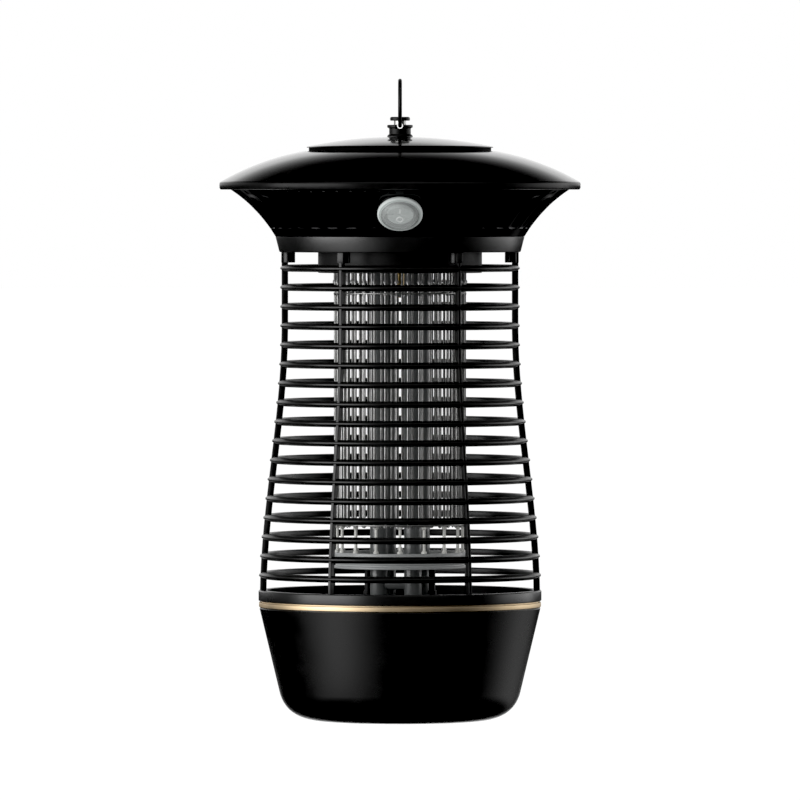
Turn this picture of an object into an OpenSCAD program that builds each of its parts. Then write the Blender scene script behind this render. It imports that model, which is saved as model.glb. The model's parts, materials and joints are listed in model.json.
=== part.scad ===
// Electric bug zapper: a domed roof over a flared skirt, a louvred cage with a tray under it,
// and a lamp that stands inside two rings of live wires.
// Millimetres. +Z is up, -Y is the front with the switch, and the tray stands on z = 0.

/* [Tray] */
// Height of the tray's wall above the surface it stands on
tray_h = 75; // [60:1:90]
// Outer radius of the tray at its mouth
tray_mouth_r = 93.4; // [88:0.2:112]
// How much narrower the tray is where its rounded corner starts
tray_draw = 13.3; // [10:0.1:18]
// Height of the tray's rounded corner
tray_corner_h = 19; // [12:1:26]
// Width of the rounded corner between the wall and the flat base
tray_toe_w = 30.1; // [24:0.1:36]
// Thickness of the tray's wall and base
tray_wall = 2; // [1.6:0.1:2.4]
// Gap between the tray and what it slides over or under
tray_gap = 0.4; // [0.3:0.05:0.8]

/* [Trim band] */
// Height of the gold band
trim_h = 3.2; // [2.4:0.1:4]
// How far the band's face stands inside the cage's foot
trim_inset = 0.3; // [0.1:0.1:1]
// Height of the shadow groove above the band
trim_groove = 0.9; // [0.6:0.1:1.2]

/* [Cage] */
// Outer radius of the louvres in the straight upper part
cage_top_r = 79.6; // [72:0.2:88]
// How far the cage's foot ring stands outside the tray's mouth
foot_step = 0.7; // [0.4:0.1:1.2]
// Height of the foot ring
foot_h = 7.1; // [5:0.1:9]
// Depth of the spigot that the tray's wall slips over
spigot_h = 11; // [8:0.5:14]
// Thickness of the spigot
spigot_wall = 2; // [1.6:0.1:2.6]
// Number of louvres
louvre_n = 17; // [12:1:20]
// Distance from one louvre to the next
louvre_pitch = 12.76; // [11:0.02:15.4]
// Height of a louvre's section
louvre_h = 4.6; // [3.6:0.1:5.6]
// Height of a louvre's thin outer lip
louvre_lip = 1.2; // [0.8:0.1:1.8]
// Depth of a louvre's section along the radius
louvre_depth = 4.8; // [4:0.1:5.8]
// Space between the foot ring and the middle of the lowest louvre
louvre_first = 9.9; // [8:0.1:12]
// Space between the middle of the highest louvre and the collar
louvre_last = 10.65; // [9:0.05:13]
// Height above the foot ring at which the flare ends
flare_h = 175; // [140:1:200]
// Number of upright posts
post_n = 6; // [4:1:8]
// Width of a post along the ring
post_w = 2.2; // [1.8:0.1:3]
// Depth of a post along the radius
post_depth = 4.3; // [3.6:0.1:5]
// How far a post stands inside the louvres' lips
post_inset = 0.9; // [0.6:0.1:1.4]
// Height of the screw boss at a post's top
boss_h = 7; // [5.5:0.1:7.5]
// Diameter of the screw boss at a post's top
boss_d = 8.6; // [8.2:0.1:9]

/* [Collar and deck] */
// Height of the satin collar
collar_h = 10.4; // [9:0.1:13]
// How far the collar's foot stands outside the cage
collar_step = 0.7; // [0.4:0.1:1.4]
// How much wider the collar is at its top
collar_flare = 2.5; // [1:0.1:4]
// Least thickness of the collar's wall
collar_wall = 2.4; // [2:0.1:2.8]
// Thickness of the collar's inner flange
flange_t = 2.7; // [2:0.1:3.4]
// Width of the collar's inner flange
flange_w = 7.9; // [7.4:0.1:9]
// Thickness of the deck
deck_t = 3; // [2.4:0.1:3.6]
// Gap round a piece that drops into a bore
fit_gap = 0.3; // [0.2:0.05:0.5]

/* [Skirt] */
// Height of the flared skirt up to the roof's flange
skirt_h = 31.1; // [28:0.1:38]
// How far the roof's rim hangs out over the skirt
rim_overhang = 7.5; // [6:0.5:12]
// Radius of the skirt's hollow curve
skirt_curve_r = 96.8; // [80:0.2:120]
// Thickness of the skirt's wall
skirt_wall = 2.6; // [2:0.1:3]
// Thickness of the flange that closes the roof's rim
rim_flange_t = 2.2; // [1.6:0.1:2.8]
// Number of vents under the rim
vent_n = 72; // [48:4:84]
// Height of a vent
vent_h = 2.2; // [1.6:0.1:3]
// Width of a vent at its foot
vent_w = 4.6; // [3:0.1:5.4]

/* [Roof] */
// Diameter of the roof over its rim
roof_d = 240; // [232:1:288]
// Height of the roof's rounded top above the skirt's flange line
roof_rise = 25.6; // [21:0.2:31]
// Radius of the roof's crown curve
roof_curve_r = 172.7; // [150:0.5:210]
// How far the roof's flat top reaches past the cap
crown_margin = 1.5; // [1:0.1:4]
// Height of the rim's upright face
rim_h = 5.6; // [4.4:0.1:6.8]
// Thickness of the roof's shell
roof_wall = 2.6; // [2:0.1:3.2]

/* [Top cap] */
// Outer radius of the cap
cap_r = 62; // [52:0.5:74]
// Height of the cap's crown above the roof's flat top
cap_h = 9.4; // [8:0.1:11.2]
// Radius of the cap's curve
cap_curve_r = 285; // [240:1:340]
// Height of the shadow groove under the cap's edge
cap_groove = 2.3; // [1.8:0.1:2.8]
// Thickness of the cap's shell
cap_wall = 2.2; // [1.8:0.1:2.6]

/* [Hanger] */
// Diameter of the hanger's threaded stud
stud_d = 8; // [6.6:0.1:9.6]
// Diameter of the hanger's body
hanger_d = 14.4; // [13:0.1:15.4]
// Diameter of the hanger's flanges
hanger_flange_d = 17; // [15.6:0.1:18]
// Diameter of the hanger's top button
button_d = 13.2; // [11:0.1:13.4]
// Height of the ring's pivot above the cap's crown
pivot_h = 7.4; // [7:0.1:8.9]
// Diameter of the ring's wire
ring_wire_d = 2.6; // [2.2:0.1:3]
// Radius of the ring to the middle of its wire
ring_r = 15; // [14.8:0.1:18]
// Room round the ring's wire in its eye
eye_gap = 0.7; // [0.6:0.05:0.8]

/* [Switch] */
// Height of the switch's centre above the collar
switch_h = 16.8; // [16:0.1:20]
// Diameter of the rubber boot
boot_d = 29.8; // [24.8:0.1:36]
// Width of the boot's flange outside the bezel
boot_flange_w = 2.9; // [2.4:0.1:3.4]
// Width of the bezel's edge outside the barrel
bezel_edge_w = 1.4; // [1.1:0.1:1.8]
// Depth of the barrel behind the panel
barrel_l = 18; // [15:0.5:21.6]
// Thickness of the barrel's wall beside the rocker
rocker_wall = 1.2; // [0.9:0.1:1.6]
// Angle of the rocker from one side to the other
rocker_swing = 16; // [12:1:18]
// Diameter of the rocker's pivot
rocker_pin_d = 2.4; // [2:0.1:2.8]
// Running clearance on the radius of the rocker's pivot
pin_gap = 0.06; // [0.03:0.01:0.09]

/* [Cord gland] */
// Diameter of the gland's threaded sleeve
gland_d = 12; // [11:0.1:14.4]
// Diameter of the hole that the cord passes through
cord_hole_d = 6.6; // [6:0.1:7.4]
// Width of the gland's hexagons across their flats
gland_af = 17; // [16.6:0.1:20]

/* [Grids] */
// Number of wires in each grid
wire_n = 36; // [24:2:40]
// Diameter of a grid wire
wire_d = 1.6; // [1.2:0.1:1.8]
// Radius of the outer grid
outer_grid_r = 43.2; // [38:0.1:52]
// Distance between the two grids
grid_gap = 3.3; // [2.8:0.1:4]
// Height of a grid's flat hoops
hoop_t = 1.6; // [1.2:0.1:2]
// Distance from the carrier down to the upper hoops
hoop_drop = 12.7; // [9:0.1:16]
// Length of the carrier's pegs
peg_l = 6.7; // [5:0.1:8]
// Diameter of the carrier's pegs
peg_d = 3.2; // [2.6:0.1:3.4]

/* [Grid carrier] */
// How far the carrier reaches past the outer grid
carrier_margin = 11.3; // [10:0.1:13]
// Height of the carrier under the deck
carrier_h = 16.5; // [15:0.5:19.8]
// Thickness of the carrier's wall and floor
carrier_wall = 3; // [2.4:0.1:3.6]

/* [Lower insulator] */
// Height of the lower insulator's foot above the surface
drum_z = 101.5; // [92:0.5:108]
// Height of the lower insulator
drum_h = 10.5; // [9:0.5:12.5]
// Number of posts between the lower insulator and the grids
standoff_n = 16; // [12:1:20]
// Length of those posts
standoff_l = 17.8; // [14:0.1:21]
// Diameter of those posts
standoff_d = 3.6; // [3.2:0.1:3.7]

/* [Lamp] */
// Diameter of a lamp tube
tube_d = 11.8; // [10:0.1:13]
// Radius of the circle that the four tubes stand on
tube_circle_r = 16.4; // [15:0.1:17.4]
// Turn of the tubes round the axis
tube_turn = 31.6; // [25:0.2:38]
// Height of the tubes' ends above the surface
tube_end_z = 79; // [76:0.5:84]
// Thickness of the glass
glass_t = 1; // [0.8:0.1:1.2]
// Width of the lamp base's edge outside the tubes
base_edge_w = 1.7; // [1.2:0.1:2.4]
// Height of the lamp's base
lamp_base_h = 11; // [9:0.5:12.5]

/* [Electronics] */
// Length of the driver board
board_x = 90; // [76:1:96]
// Width of the driver board
board_y = 60; // [52:1:64]
// Thickness of the driver board
board_t = 1.6; // [1.2:0.1:2]
// Height of the board above the deck
board_rise = 12; // [10:0.5:14.4]

/* [Fasteners] */
// Diameter of the cage and roof screws
screw_d = 3.6; // [3:0.1:4.2]
// Diameter of a screw's head
screw_head_d = 6.2; // [5.4:0.1:6.4]
// Height of a screw's head
screw_head_h = 2.4; // [1.8:0.1:2.8]
// Diameter of the small inner screws
small_screw_d = 2.8; // [2.4:0.1:3.2]
// Clearance on the diameter of a screw in its hole
screw_gap = 0.3; // [0.2:0.05:0.5]

/* [Hidden] */
$fn = 96;
eps = 0.01;

// Levels, from the surface upwards
trim_z = tray_h + 0.6;
foot_z = trim_z + trim_h + trim_groove;
louvre_z0 = foot_z + foot_h + louvre_first;
cage_top_z = louvre_z0 + (louvre_n - 1) * louvre_pitch + louvre_last;
deck_z = cage_top_z + flange_t;
deck_top = deck_z + deck_t;
skirt_z = cage_top_z + collar_h;
rim_z = skirt_z + skirt_h;
crown_z = rim_z + roof_rise;
cap_z = crown_z + cap_h;
pivot_z = cap_z + pivot_h;
carrier_z = deck_z - carrier_h;
hoop_z = carrier_z - hoop_drop - hoop_t;
board_z = deck_top + board_rise;
drum_top = drum_z + drum_h;
low_hoop_z = drum_top + standoff_l;

// Radii that follow from the driving sizes
roof_r = roof_d / 2;
skirt_top_r = roof_r - rim_overhang;
crown_r = cap_r + crown_margin;
tray_corner_r = tray_mouth_r - tray_draw;
tray_base_r = tray_corner_r - tray_toe_w;
cage_foot_r = tray_mouth_r + foot_step;
collar_r = cage_top_r + collar_step;
skirt_foot_r = collar_r + collar_flare;
collar_bore_r = collar_r - collar_wall + 0.5;
flange_bore_r = collar_bore_r - flange_w;
deck_r = collar_bore_r - fit_gap;
cage_screw_r = cage_top_r - post_inset - boss_d / 2 - 0.4;
carrier_r = outer_grid_r + carrier_margin;
roof_screw_r = (carrier_r + flange_bore_r) / 2;
inner_grid_r = outer_grid_r - grid_gap;
trim_r = cage_foot_r - trim_inset;
spigot_r = tray_mouth_r - tray_wall - tray_gap;
hoop_w = 1.8;
groove_depth = 1.4;

// Sizes of the switch and the lamp's base
bezel_d = boot_d - 2 * boot_flange_w;
barrel_d = bezel_d - 2 * bezel_edge_w;
rocker_gap = 0.4;
rocker_d = barrel_d - 2 * (rocker_wall + rocker_gap);
lamp_base_d = 2 * (tube_circle_r + tube_d / 2 + base_edge_w);

// Sizes shared by the small pieces
pad_face = 1.4;
pad_back = 3.4;
post_angle = 0;
roof_screw_n = 4;
roof_screw_turn = 45;
carrier_screw_r = carrier_r - carrier_wall - 2.4;
carrier_screw_turn = 20;
holder_screw_r = lamp_base_d / 2 + 3.4;
holder_flange_t = 2.5;
holder_h = 14;
holder_r = lamp_base_d / 2 - 1;
lamp_z = carrier_z + 0.6;
holder_z = lamp_z + lamp_base_h;
pillar_x = board_x / 2 - 5;
pillar_y = board_y / 2 - 5;
outer_stud_r = outer_grid_r + 5.3;
inner_stud_r = inner_grid_r - 5.9;
grid_stud_d = 3;
terminal_l = 8;
bridge_d = 7;
grid_turn = -2.9;

// Smooth step from 0 to 1
function smooth(t) = let (u = min(1, max(0, t))) u * u * (3 - 2 * u);

// Outer radius of the cage at height z: straight above the flare, wider towards the foot
function lip_r(z) = cage_foot_r
    + (cage_top_r - cage_foot_r) * smooth((z - foot_z) / (flare_h + foot_h));

// Centre of an arc of radius r from p to q, on the side of the chord that s names
function arc_centre(p, q, r, s) = let (d = q - p, l = norm(d))
    (p + q) / 2 + s * sqrt(r * r - l * l / 4) / l * [-d.y, d.x];

// Points of the arc from p to q about that centre, moved outwards by grow
function arc(p, q, r, s, n, grow = 0) = let (
    c = arc_centre(p, q, r, s),
    a = atan2(p.y - c.y, p.x - c.x),
    b = atan2(q.y - c.y, q.x - c.x)
) [for (i = [0:n]) c + (r + grow) * [cos(a + (b - a) * i / n), sin(a + (b - a) * i / n)]];

// Points of a quadratic curve from a to c that starts and ends towards b
function curve3(a, b, c, n) =
    [for (i = [0:n]) let (t = i / n) (1 - t) * (1 - t) * a + 2 * t * (1 - t) * b + t * t * c];

function reversed(list) = [for (i = [len(list) - 1:-1:0]) list[i]];

// The skirt's outer curve, from its foot to the roof, and the wall's inner one
skirt_foot = [skirt_foot_r, skirt_z];
skirt_top = [skirt_top_r, rim_z];
skirt_outer = arc(skirt_foot, skirt_top, skirt_curve_r, -1, 14);
skirt_inner = arc(skirt_foot, skirt_top, skirt_curve_r, -1, 14, skirt_wall);

// The switch's seat on the skirt: its height, radius and downward tilt
skirt_centre = arc_centre(skirt_foot, skirt_top, skirt_curve_r, -1);
seat_z = skirt_z + switch_h;
seat_tilt = asin((seat_z - skirt_centre.y) / skirt_curve_r);
seat_r = skirt_centre.x - skirt_curve_r * cos(seat_tilt);

// Copies of the children round the axis
module ring_of(n, r, turn = 0) {
    for (i = [0:n - 1]) rotate([0, 0, turn + i * 360 / n]) translate([r, 0, 0]) children();
}

module tube(r, bore_r, h) {
    difference() {
        cylinder(r = r, h = h);
        translate([0, 0, -eps]) cylinder(r = bore_r, h = h + 2 * eps);
    }
}

// Pan-head screw that points up, with its head's seat at z = 0 and a cross recess below
module screw(d, l, head_d, head_h) {
    difference() {
        union() {
            cylinder(d = d, h = l, $fn = 32);
            translate([0, 0, -head_h]) cylinder(d = head_d, h = head_h, $fn = 32);
        }
        for (a = [0, 90]) rotate([0, 0, a]) {
            translate([-head_d * 0.3, -0.4, -head_h - eps]) cube([head_d * 0.6, 0.8, head_h * 0.5]);
        }
    }
}

module hexagon(af, h) {
    cylinder(d = af / cos(30), h = h, $fn = 6);
}

// Frame of a seat on the skirt: +Z is the way out of the panel. turn 0 is the front.
module on_seat(turn = 0) {
    rotate([0, 0, turn]) translate([0, -seat_r, seat_z]) rotate([90 + seat_tilt, 0, 0]) children();
}

// Round tube along a list of points, with flat ends square to its first and last stretch
module lead(points, d, turn = 0) {
    n = len(points);
    sides = 8;
    rings = [for (i = [0:n - 1]) let (
        t = points[min(i + 1, n - 1)] - points[max(i - 1, 0)],
        w = t / norm(t),
        u0 = cross(w, [cos(turn), sin(turn), 0]),
        u = u0 / norm(u0),
        v = cross(w, u)
    ) for (k = [0:sides - 1]) points[i] + d / 2 * (cos(k * 360 / sides) * u + sin(k * 360 / sides) * v)];
    walls = [for (i = [0:n - 2]) for (k = [0:sides - 1]) [
        i * sides + k, i * sides + (k + 1) % sides, (i + 1) * sides + (k + 1) % sides, (i + 1) * sides + k
    ]];
    first = [for (k = [sides - 1:-1:0]) k];
    last = [for (k = [0:sides - 1]) (n - 1) * sides + k];
    polyhedron(points = rings, faces = [for (f = concat(walls, [first, last])) reversed(f)]);
}

// Points of a smooth curve through four control points
function bend(a, b, c, d, n = 12) = [for (i = [0:n]) let (t = i / n, s = 1 - t)
    s * s * s * a + 3 * s * s * t * b + 3 * s * t * t * c + t * t * t * d];

// Route that leaves a along u and comes down on d along v, straight for its first and last stretch
function route(a, u, d, v, reach_u, reach_v, n = 10) = concat(
    [a], bend(a + stub * u, a + reach_u * u, d + reach_v * v, d + stub * v, n), [d]
);

// ---------------------------------------------------------------- roof and hanger

roof_edge = [roof_r - 1.3, rim_z + rim_h];
roof_start = [crown_r, crown_z];

module roof_shell() {
    outer = arc(roof_start, roof_edge, roof_curve_r, -1, 14);
    inner = arc(roof_start, roof_edge, roof_curve_r, -1, 14, -roof_wall);
    lip_in = roof_r - roof_wall;
    shoulder = arc(roof_edge, [roof_r, roof_edge.y - 2], 2.2, -1, 4);
    heel = [[roof_r, rim_z + 1.2], [roof_r - 0.4, rim_z + 0.3], [roof_r - 1.2, rim_z]];
    color("black") difference() {
        union() {
            rotate_extrude($fn = 192) polygon(concat(
                [[0, crown_z]], outer, shoulder, heel,
                [[lip_in, rim_z], [lip_in, rim_z + rim_h - roof_wall]],
                reversed([for (p = inner) if (p.x < lip_in) p]),
                [[crown_r - 1, crown_z - roof_wall], [0, crown_z - roof_wall]]
            ));
            ring_of(roof_screw_n, roof_screw_r, roof_screw_turn) {
                translate([0, 0, deck_top]) cylinder(d = 8, h = crown_z - roof_wall - deck_top + 1);
            }
        }
        translate([0, 0, crown_z - roof_wall - 1]) {
            cylinder(d = stud_d + 2 * fit_gap, h = roof_wall + 2);
        }
        ring_of(roof_screw_n, roof_screw_r, roof_screw_turn) {
            translate([0, 0, deck_top - 1]) cylinder(d = screw_d + screw_gap, h = 18);
        }
    }
}

cap_edge_z = crown_z + cap_groove;

module top_cap() {
    crown = [0, cap_z];
    edge = [cap_r, cap_edge_z + 0.4];
    neck_r = cap_r - groove_depth;
    top = arc(crown, edge, cap_curve_r, -1, 12);
    under = [for (p = top) if (p.x > hanger_flange_d / 2 && p.x < neck_r - cap_wall) p - [0, cap_wall]];
    color("black") rotate_extrude($fn = 192) polygon(concat(
        [for (p = top) if (p.x > stud_d) p],
        [[cap_r, cap_edge_z], [neck_r, cap_edge_z], [neck_r, crown_z], [neck_r - cap_wall, crown_z]],
        [[neck_r - cap_wall, cap_edge_z - 0.6]],
        reversed(under),
        [[hanger_flange_d / 2, crown_z], [stud_d / 2 + fit_gap, crown_z], [stud_d / 2 + fit_gap, cap_z]]
    ));
}

flange_z = pivot_z - 1;
neck_z = pivot_z + 0.6;
button_z = pivot_z + 3.4;
button_h = 2.5;

module hanger_boss() {
    eye_r = ring_wire_d / 2 + eye_gap;
    color("dimgray") difference() {
        rotate_extrude() polygon([
            [0, crown_z - 24], [stud_d / 2, crown_z - 24], [stud_d / 2, cap_z],
            [hanger_flange_d / 2, cap_z], [hanger_flange_d / 2, cap_z + 0.6],
            [hanger_d / 2, cap_z + 2], [hanger_d / 2, flange_z - 0.8],
            [hanger_flange_d / 2, flange_z], [hanger_flange_d / 2, neck_z - 0.4],
            [hanger_flange_d / 2 - 0.4, neck_z], [4, neck_z], [4, button_z],
            [button_d / 2 - 0.4, button_z], [button_d / 2, button_z + 0.4],
            [button_d / 2, button_z + button_h - 0.6], [button_d / 2 - 0.8, button_z + button_h],
            [0, button_z + button_h]
        ]);
        translate([0, 20, pivot_z]) rotate([90, 0, 0]) cylinder(r = eye_r, h = 40);
        for (s = [0, 180]) rotate([0, 0, s]) {
            translate([-3.3, 4.4, pivot_z - 2.1]) cube([6.6, 8, 5.4]);
        }
    }
}

module hanger_washer() {
    color("silver") translate([0, 0, crown_z - roof_wall - 1.6]) tube(11, stud_d / 2 + fit_gap, 1.6);
}

module hanger_nut() {
    color("silver") translate([0, 0, crown_z - roof_wall - 8.1]) difference() {
        hexagon(stud_d * 1.625, 6.5);
        translate([0, 0, -1]) cylinder(d = stud_d + 0.04, h = 9);
    }
}

module hanging_ring() {
    color("silver") translate([0, 0, pivot_z + ring_r]) rotate([0, 90, 0]) {
        rotate_extrude() translate([ring_r, 0]) circle(d = ring_wire_d, $fn = 32);
    }
}

// ---------------------------------------------------------------- skirt, collar and deck

module skirt_outside() {
    rotate_extrude($fn = 192) polygon(concat(
        [[0, skirt_z]], skirt_outer, [[roof_r - roof_wall - 0.5, rim_z], [0, rim_z]]
    ));
}

module skirt() {
    flange_r = roof_r - roof_wall - 0.5;
    inner = [for (p = reversed(skirt_inner)) if (p.y > skirt_z && p.y < rim_z - 1) p];
    foot_in = skirt_foot_r - skirt_wall - 0.9;
    screw_hole = screw_d + screw_gap;
    color("black") difference() {
        union() {
            rotate_extrude($fn = 192) polygon(concat(
                skirt_outer,
                [[flange_r, rim_z], [flange_r, rim_z + rim_flange_t]],
                [[skirt_top_r - 5.5, rim_z + rim_flange_t]],
                inner,
                [[foot_in, skirt_z]]
            ));
            intersection() {
                union() {
                    on_seat() translate([0, 0, -pad_back]) cylinder(d = boot_d + 1.6, h = pad_back + pad_face);
                    on_seat(180) translate([0, 0, -pad_back]) {
                        cylinder(d = gland_af / cos(30) + 2, h = pad_back + pad_face);
                    }
                }
                translate([0, 0, skirt_z]) cylinder(r = roof_r - roof_wall, h = skirt_h);
            }
            ring_of(post_n, cage_screw_r, post_angle) {
                translate([0, 0, deck_top]) cylinder(d = 8, h = 14);
            }
            intersection() {
                ring_of(post_n, cage_screw_r, post_angle) {
                    translate([3.4, -1.2, skirt_z]) cube([20, 2.4, deck_top + 14 - skirt_z]);
                }
                skirt_outside();
            }
        }
        ring_of(post_n, cage_screw_r, post_angle) {
            translate([0, 0, deck_top - 1]) cylinder(d = screw_hole, h = 13);
        }
        on_seat() translate([0, 0, -12]) cylinder(d = barrel_d + fit_gap, h = 20);
        on_seat(180) translate([0, 0, -12]) cylinder(d = gland_d + fit_gap, h = 20);
        ring_of(vent_n, skirt_top_r - 7, 90 + 180 / vent_n) {
            translate([0, 0, rim_z - vent_h - 0.5]) rotate([90, 0, 90]) linear_extrude(12) polygon([
                [-vent_w / 2, 0], [vent_w / 2, 0], [vent_w / 2 - 0.9, vent_h], [0.9 - vent_w / 2, vent_h]
            ]);
        }
    }
}

module collar() {
    color([0.13, 0.13, 0.14]) difference() {
        rotate_extrude($fn = 192) polygon([
            [flange_bore_r, cage_top_z], [collar_r - 0.5, cage_top_z], [collar_r, cage_top_z + 0.5],
            [skirt_foot_r, skirt_z], [collar_bore_r, skirt_z],
            [collar_bore_r, deck_z], [flange_bore_r, deck_z]
        ]);
        ring_of(post_n, cage_screw_r, post_angle) {
            translate([0, 0, cage_top_z - 1]) cylinder(d = screw_d + screw_gap, h = flange_t + 2);
        }
    }
}

module deck() {
    color([0.1, 0.1, 0.1]) difference() {
        union() {
            translate([0, 0, deck_z]) cylinder(r = deck_r, h = deck_t, $fn = 192);
            for (x = [-pillar_x, pillar_x], y = [-pillar_y, pillar_y]) {
                translate([x, y, deck_top - eps]) cylinder(d = 7, h = board_rise + eps);
            }
        }
        translate([0, 0, deck_z - 1]) {
            cylinder(r = holder_r + fit_gap, h = deck_t + 2);
            ring_of(post_n, cage_screw_r, post_angle) cylinder(d = screw_d + screw_gap, h = deck_t + 2);
            ring_of(roof_screw_n, roof_screw_r, roof_screw_turn) {
                cylinder(d = screw_d + screw_gap, h = deck_t + 2);
            }
            ring_of(4, carrier_screw_r, carrier_screw_turn) {
                cylinder(d = small_screw_d + screw_gap, h = deck_t + 2);
            }
            ring_of(3, holder_screw_r, 30) cylinder(d = small_screw_d + screw_gap, h = deck_t + 2);
            for (r = [outer_stud_r, inner_stud_r]) {
                translate([0, r, 0]) cylinder(d = grid_stud_d + 1.6, h = deck_t + 2);
            }
        }
        for (x = [-pillar_x, pillar_x], y = [-pillar_y, pillar_y]) {
            translate([x, y, board_z - 9]) cylinder(d = small_screw_d + screw_gap, h = 10);
        }
    }
}

module roof_screws() {
    color("silver") ring_of(roof_screw_n, roof_screw_r, roof_screw_turn) {
        translate([0, 0, deck_z]) screw(screw_d, deck_t + 15, screw_head_d, screw_head_h);
    }
}

// The heads sit in counterbores in the cage's post bosses
module cage_screws() {
    seat = cage_top_z - boss_h + screw_head_h;
    color("silver") ring_of(post_n, cage_screw_r, post_angle) {
        translate([0, 0, seat]) screw(screw_d, deck_top + 11 - seat, screw_head_d, screw_head_h);
    }
}

// ---------------------------------------------------------------- switch

hinge_z = pad_face - 0.4;
bezel_t = 2;
cavity_r = rocker_d / 2 + rocker_gap;

module switch_body() {
    color([0.08, 0.08, 0.08]) on_seat() difference() {
        union() {
            translate([0, 0, -barrel_l]) cylinder(d = barrel_d, h = barrel_l + pad_face);
            translate([0, 0, pad_face]) cylinder(d = bezel_d, h = bezel_t);
        }
        translate([0, 0, hinge_z - rocker_d / 2 - 0.6]) cylinder(r = cavity_r, h = 20);
        translate([-20, 0, hinge_z]) rotate([0, 90, 0]) {
            cylinder(d = rocker_pin_d + 2 * pin_gap, h = 40, $fn = 32);
        }
    }
}

module switch_rocker() {
    r = rocker_d / 2;
    color([0.75, 0.76, 0.78]) on_seat() translate([0, 0, hinge_z]) rotate([rocker_swing / 2, 0, 0]) {
        intersection() {
            sphere(r = r);
            translate([-r, 0, 0]) rotate([90, 0, 90]) linear_extrude(2 * r) polygon([
                [-r, -5], [r, -5], [r, 3.2], [0, 1.8], [-r, 3.2]
            ]);
        }
        translate([-barrel_d / 2 + 0.3, 0, 0]) rotate([0, 90, 0]) {
            cylinder(d = rocker_pin_d, h = barrel_d - 0.6, $fn = 32);
        }
    }
}

boot_face = pad_face + bezel_t + 3.4;

module switch_boot() {
    color([0.7, 0.72, 0.74, 0.6]) on_seat() rotate_extrude() polygon([
        [bezel_d / 2 + 0.1, pad_face], [boot_d / 2, pad_face], [boot_d / 2, pad_face + 1.6],
        [boot_d / 2 - 1, pad_face + 2.4], [bezel_d / 2 + 0.8, pad_face + 2.6],
        [bezel_d / 2 - 0.4, boot_face - 0.8], [bezel_d / 2 - 1.2, boot_face - 0.2],
        [bezel_d / 2 - 2.2, boot_face], [0, boot_face],
        [0, boot_face - 0.8], [bezel_d / 2 - 2.4, boot_face - 0.8],
        [bezel_d / 2 - 1.2, boot_face - 1.6], [bezel_d / 2 - 0.6, pad_face + bezel_t],
        [bezel_d / 2 + 0.1, pad_face + bezel_t]
    ]);
}

module switch_terminals() {
    color("gold") on_seat() for (x = [-4.5, 4.5]) {
        translate([x - 0.4, -2.4, -barrel_l - terminal_l]) cube([0.8, 4.8, terminal_l]);
    }
}

// ---------------------------------------------------------------- cord gland

gland_flange_t = 3;
gland_cap_l = 9;

module gland_body() {
    color([0.09, 0.09, 0.09]) on_seat(180) difference() {
        union() {
            translate([0, 0, -11]) cylinder(d = gland_d, h = 11 + pad_face);
            translate([0, 0, pad_face]) hexagon(gland_af, gland_flange_t);
        }
        translate([0, 0, -12]) cylinder(d = cord_hole_d + 0.6, h = 30);
    }
}

module gland_seal() {
    color([0.05, 0.05, 0.05]) on_seat(180) translate([0, 0, pad_face + gland_flange_t]) {
        tube(cord_hole_d / 2 + 1.9, cord_hole_d / 2, gland_cap_l - 1.5);
    }
}

module gland_cap() {
    bore = cord_hole_d / 2 + 1.9 + fit_gap / 2;
    color([0.09, 0.09, 0.09]) on_seat(180) translate([0, 0, pad_face + gland_flange_t]) difference() {
        union() {
            hexagon(gland_af - 1, gland_cap_l * 0.6);
            cylinder(d = gland_af - 1.4, h = gland_cap_l * 0.75);
            cylinder(d = gland_af - 4, h = gland_cap_l);
        }
        translate([0, 0, -1]) cylinder(r = bore, h = gland_cap_l - 0.5);
        cylinder(d = cord_hole_d + 1, h = 20);
    }
}

module gland_nut() {
    color([0.09, 0.09, 0.09]) on_seat(180) translate([0, 0, -pad_back - 4]) difference() {
        hexagon(gland_af, 4);
        translate([0, 0, -1]) cylinder(d = gland_d + 0.04, h = 6);
    }
}

// ---------------------------------------------------------------- electronics

module driver_board() {
    color("darkgreen") difference() {
        translate([-board_x / 2, -board_y / 2, board_z]) cube([board_x, board_y, board_t]);
        for (x = [-pillar_x, pillar_x], y = [-pillar_y, pillar_y]) {
            translate([x, y, board_z - 1]) cylinder(d = small_screw_d + screw_gap, h = board_t + 2);
        }
    }
}

module board_screws() {
    color("silver") for (x = [-pillar_x, pillar_x], y = [-pillar_y, pillar_y]) {
        translate([x, y, board_z + board_t]) rotate([180, 0, 0]) screw(small_screw_d, 9, 5, 1.8);
    }
}

board_top = board_z + board_t;
core_w = 30;
core_d = 24;
core_h = 20;
coil_r = 8.5;

module transformer_core() {
    color([0.25, 0.25, 0.27]) translate([-22, 0, board_top]) difference() {
        translate([-core_w / 2, -core_d / 2, 0]) cube([core_w, core_d, core_h]);
        for (s = [-1, 1]) {
            translate([s * core_w / 4 - 3.4, -core_d, 4]) cube([6.8, 2 * core_d, core_h - 8]);
        }
    }
}

// Two flat coils fill the windows of the core
module transformer_coil() {
    color([0.75, 0.45, 0.15]) translate([-22, 0, board_top]) for (s = [-1, 1]) {
        translate([s * core_w / 4 - 3.2, -core_d / 2 - 3, 4.2]) cube([6.4, core_d + 6, core_h - 8.4]);
    }
}

module capacitors() {
    color([0.15, 0.25, 0.5]) {
        for (y = [-14, 0, 14]) translate([12, y - 4, board_top]) cube([18, 8, 13]);
        translate([3, -17, board_top]) cylinder(d = 9, h = 18, $fn = 48);
    }
}

module fuse() {
    color([0.8, 0.8, 0.78]) translate([-6, 22, board_top + 3]) {
        rotate([0, 90, 0]) cylinder(d = 5.2, h = 20, $fn = 48);
        for (x = [0, 16]) translate([x, -2, -3]) cube([4, 4, 3]);
    }
}

// ---------------------------------------------------------------- lamp

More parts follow.
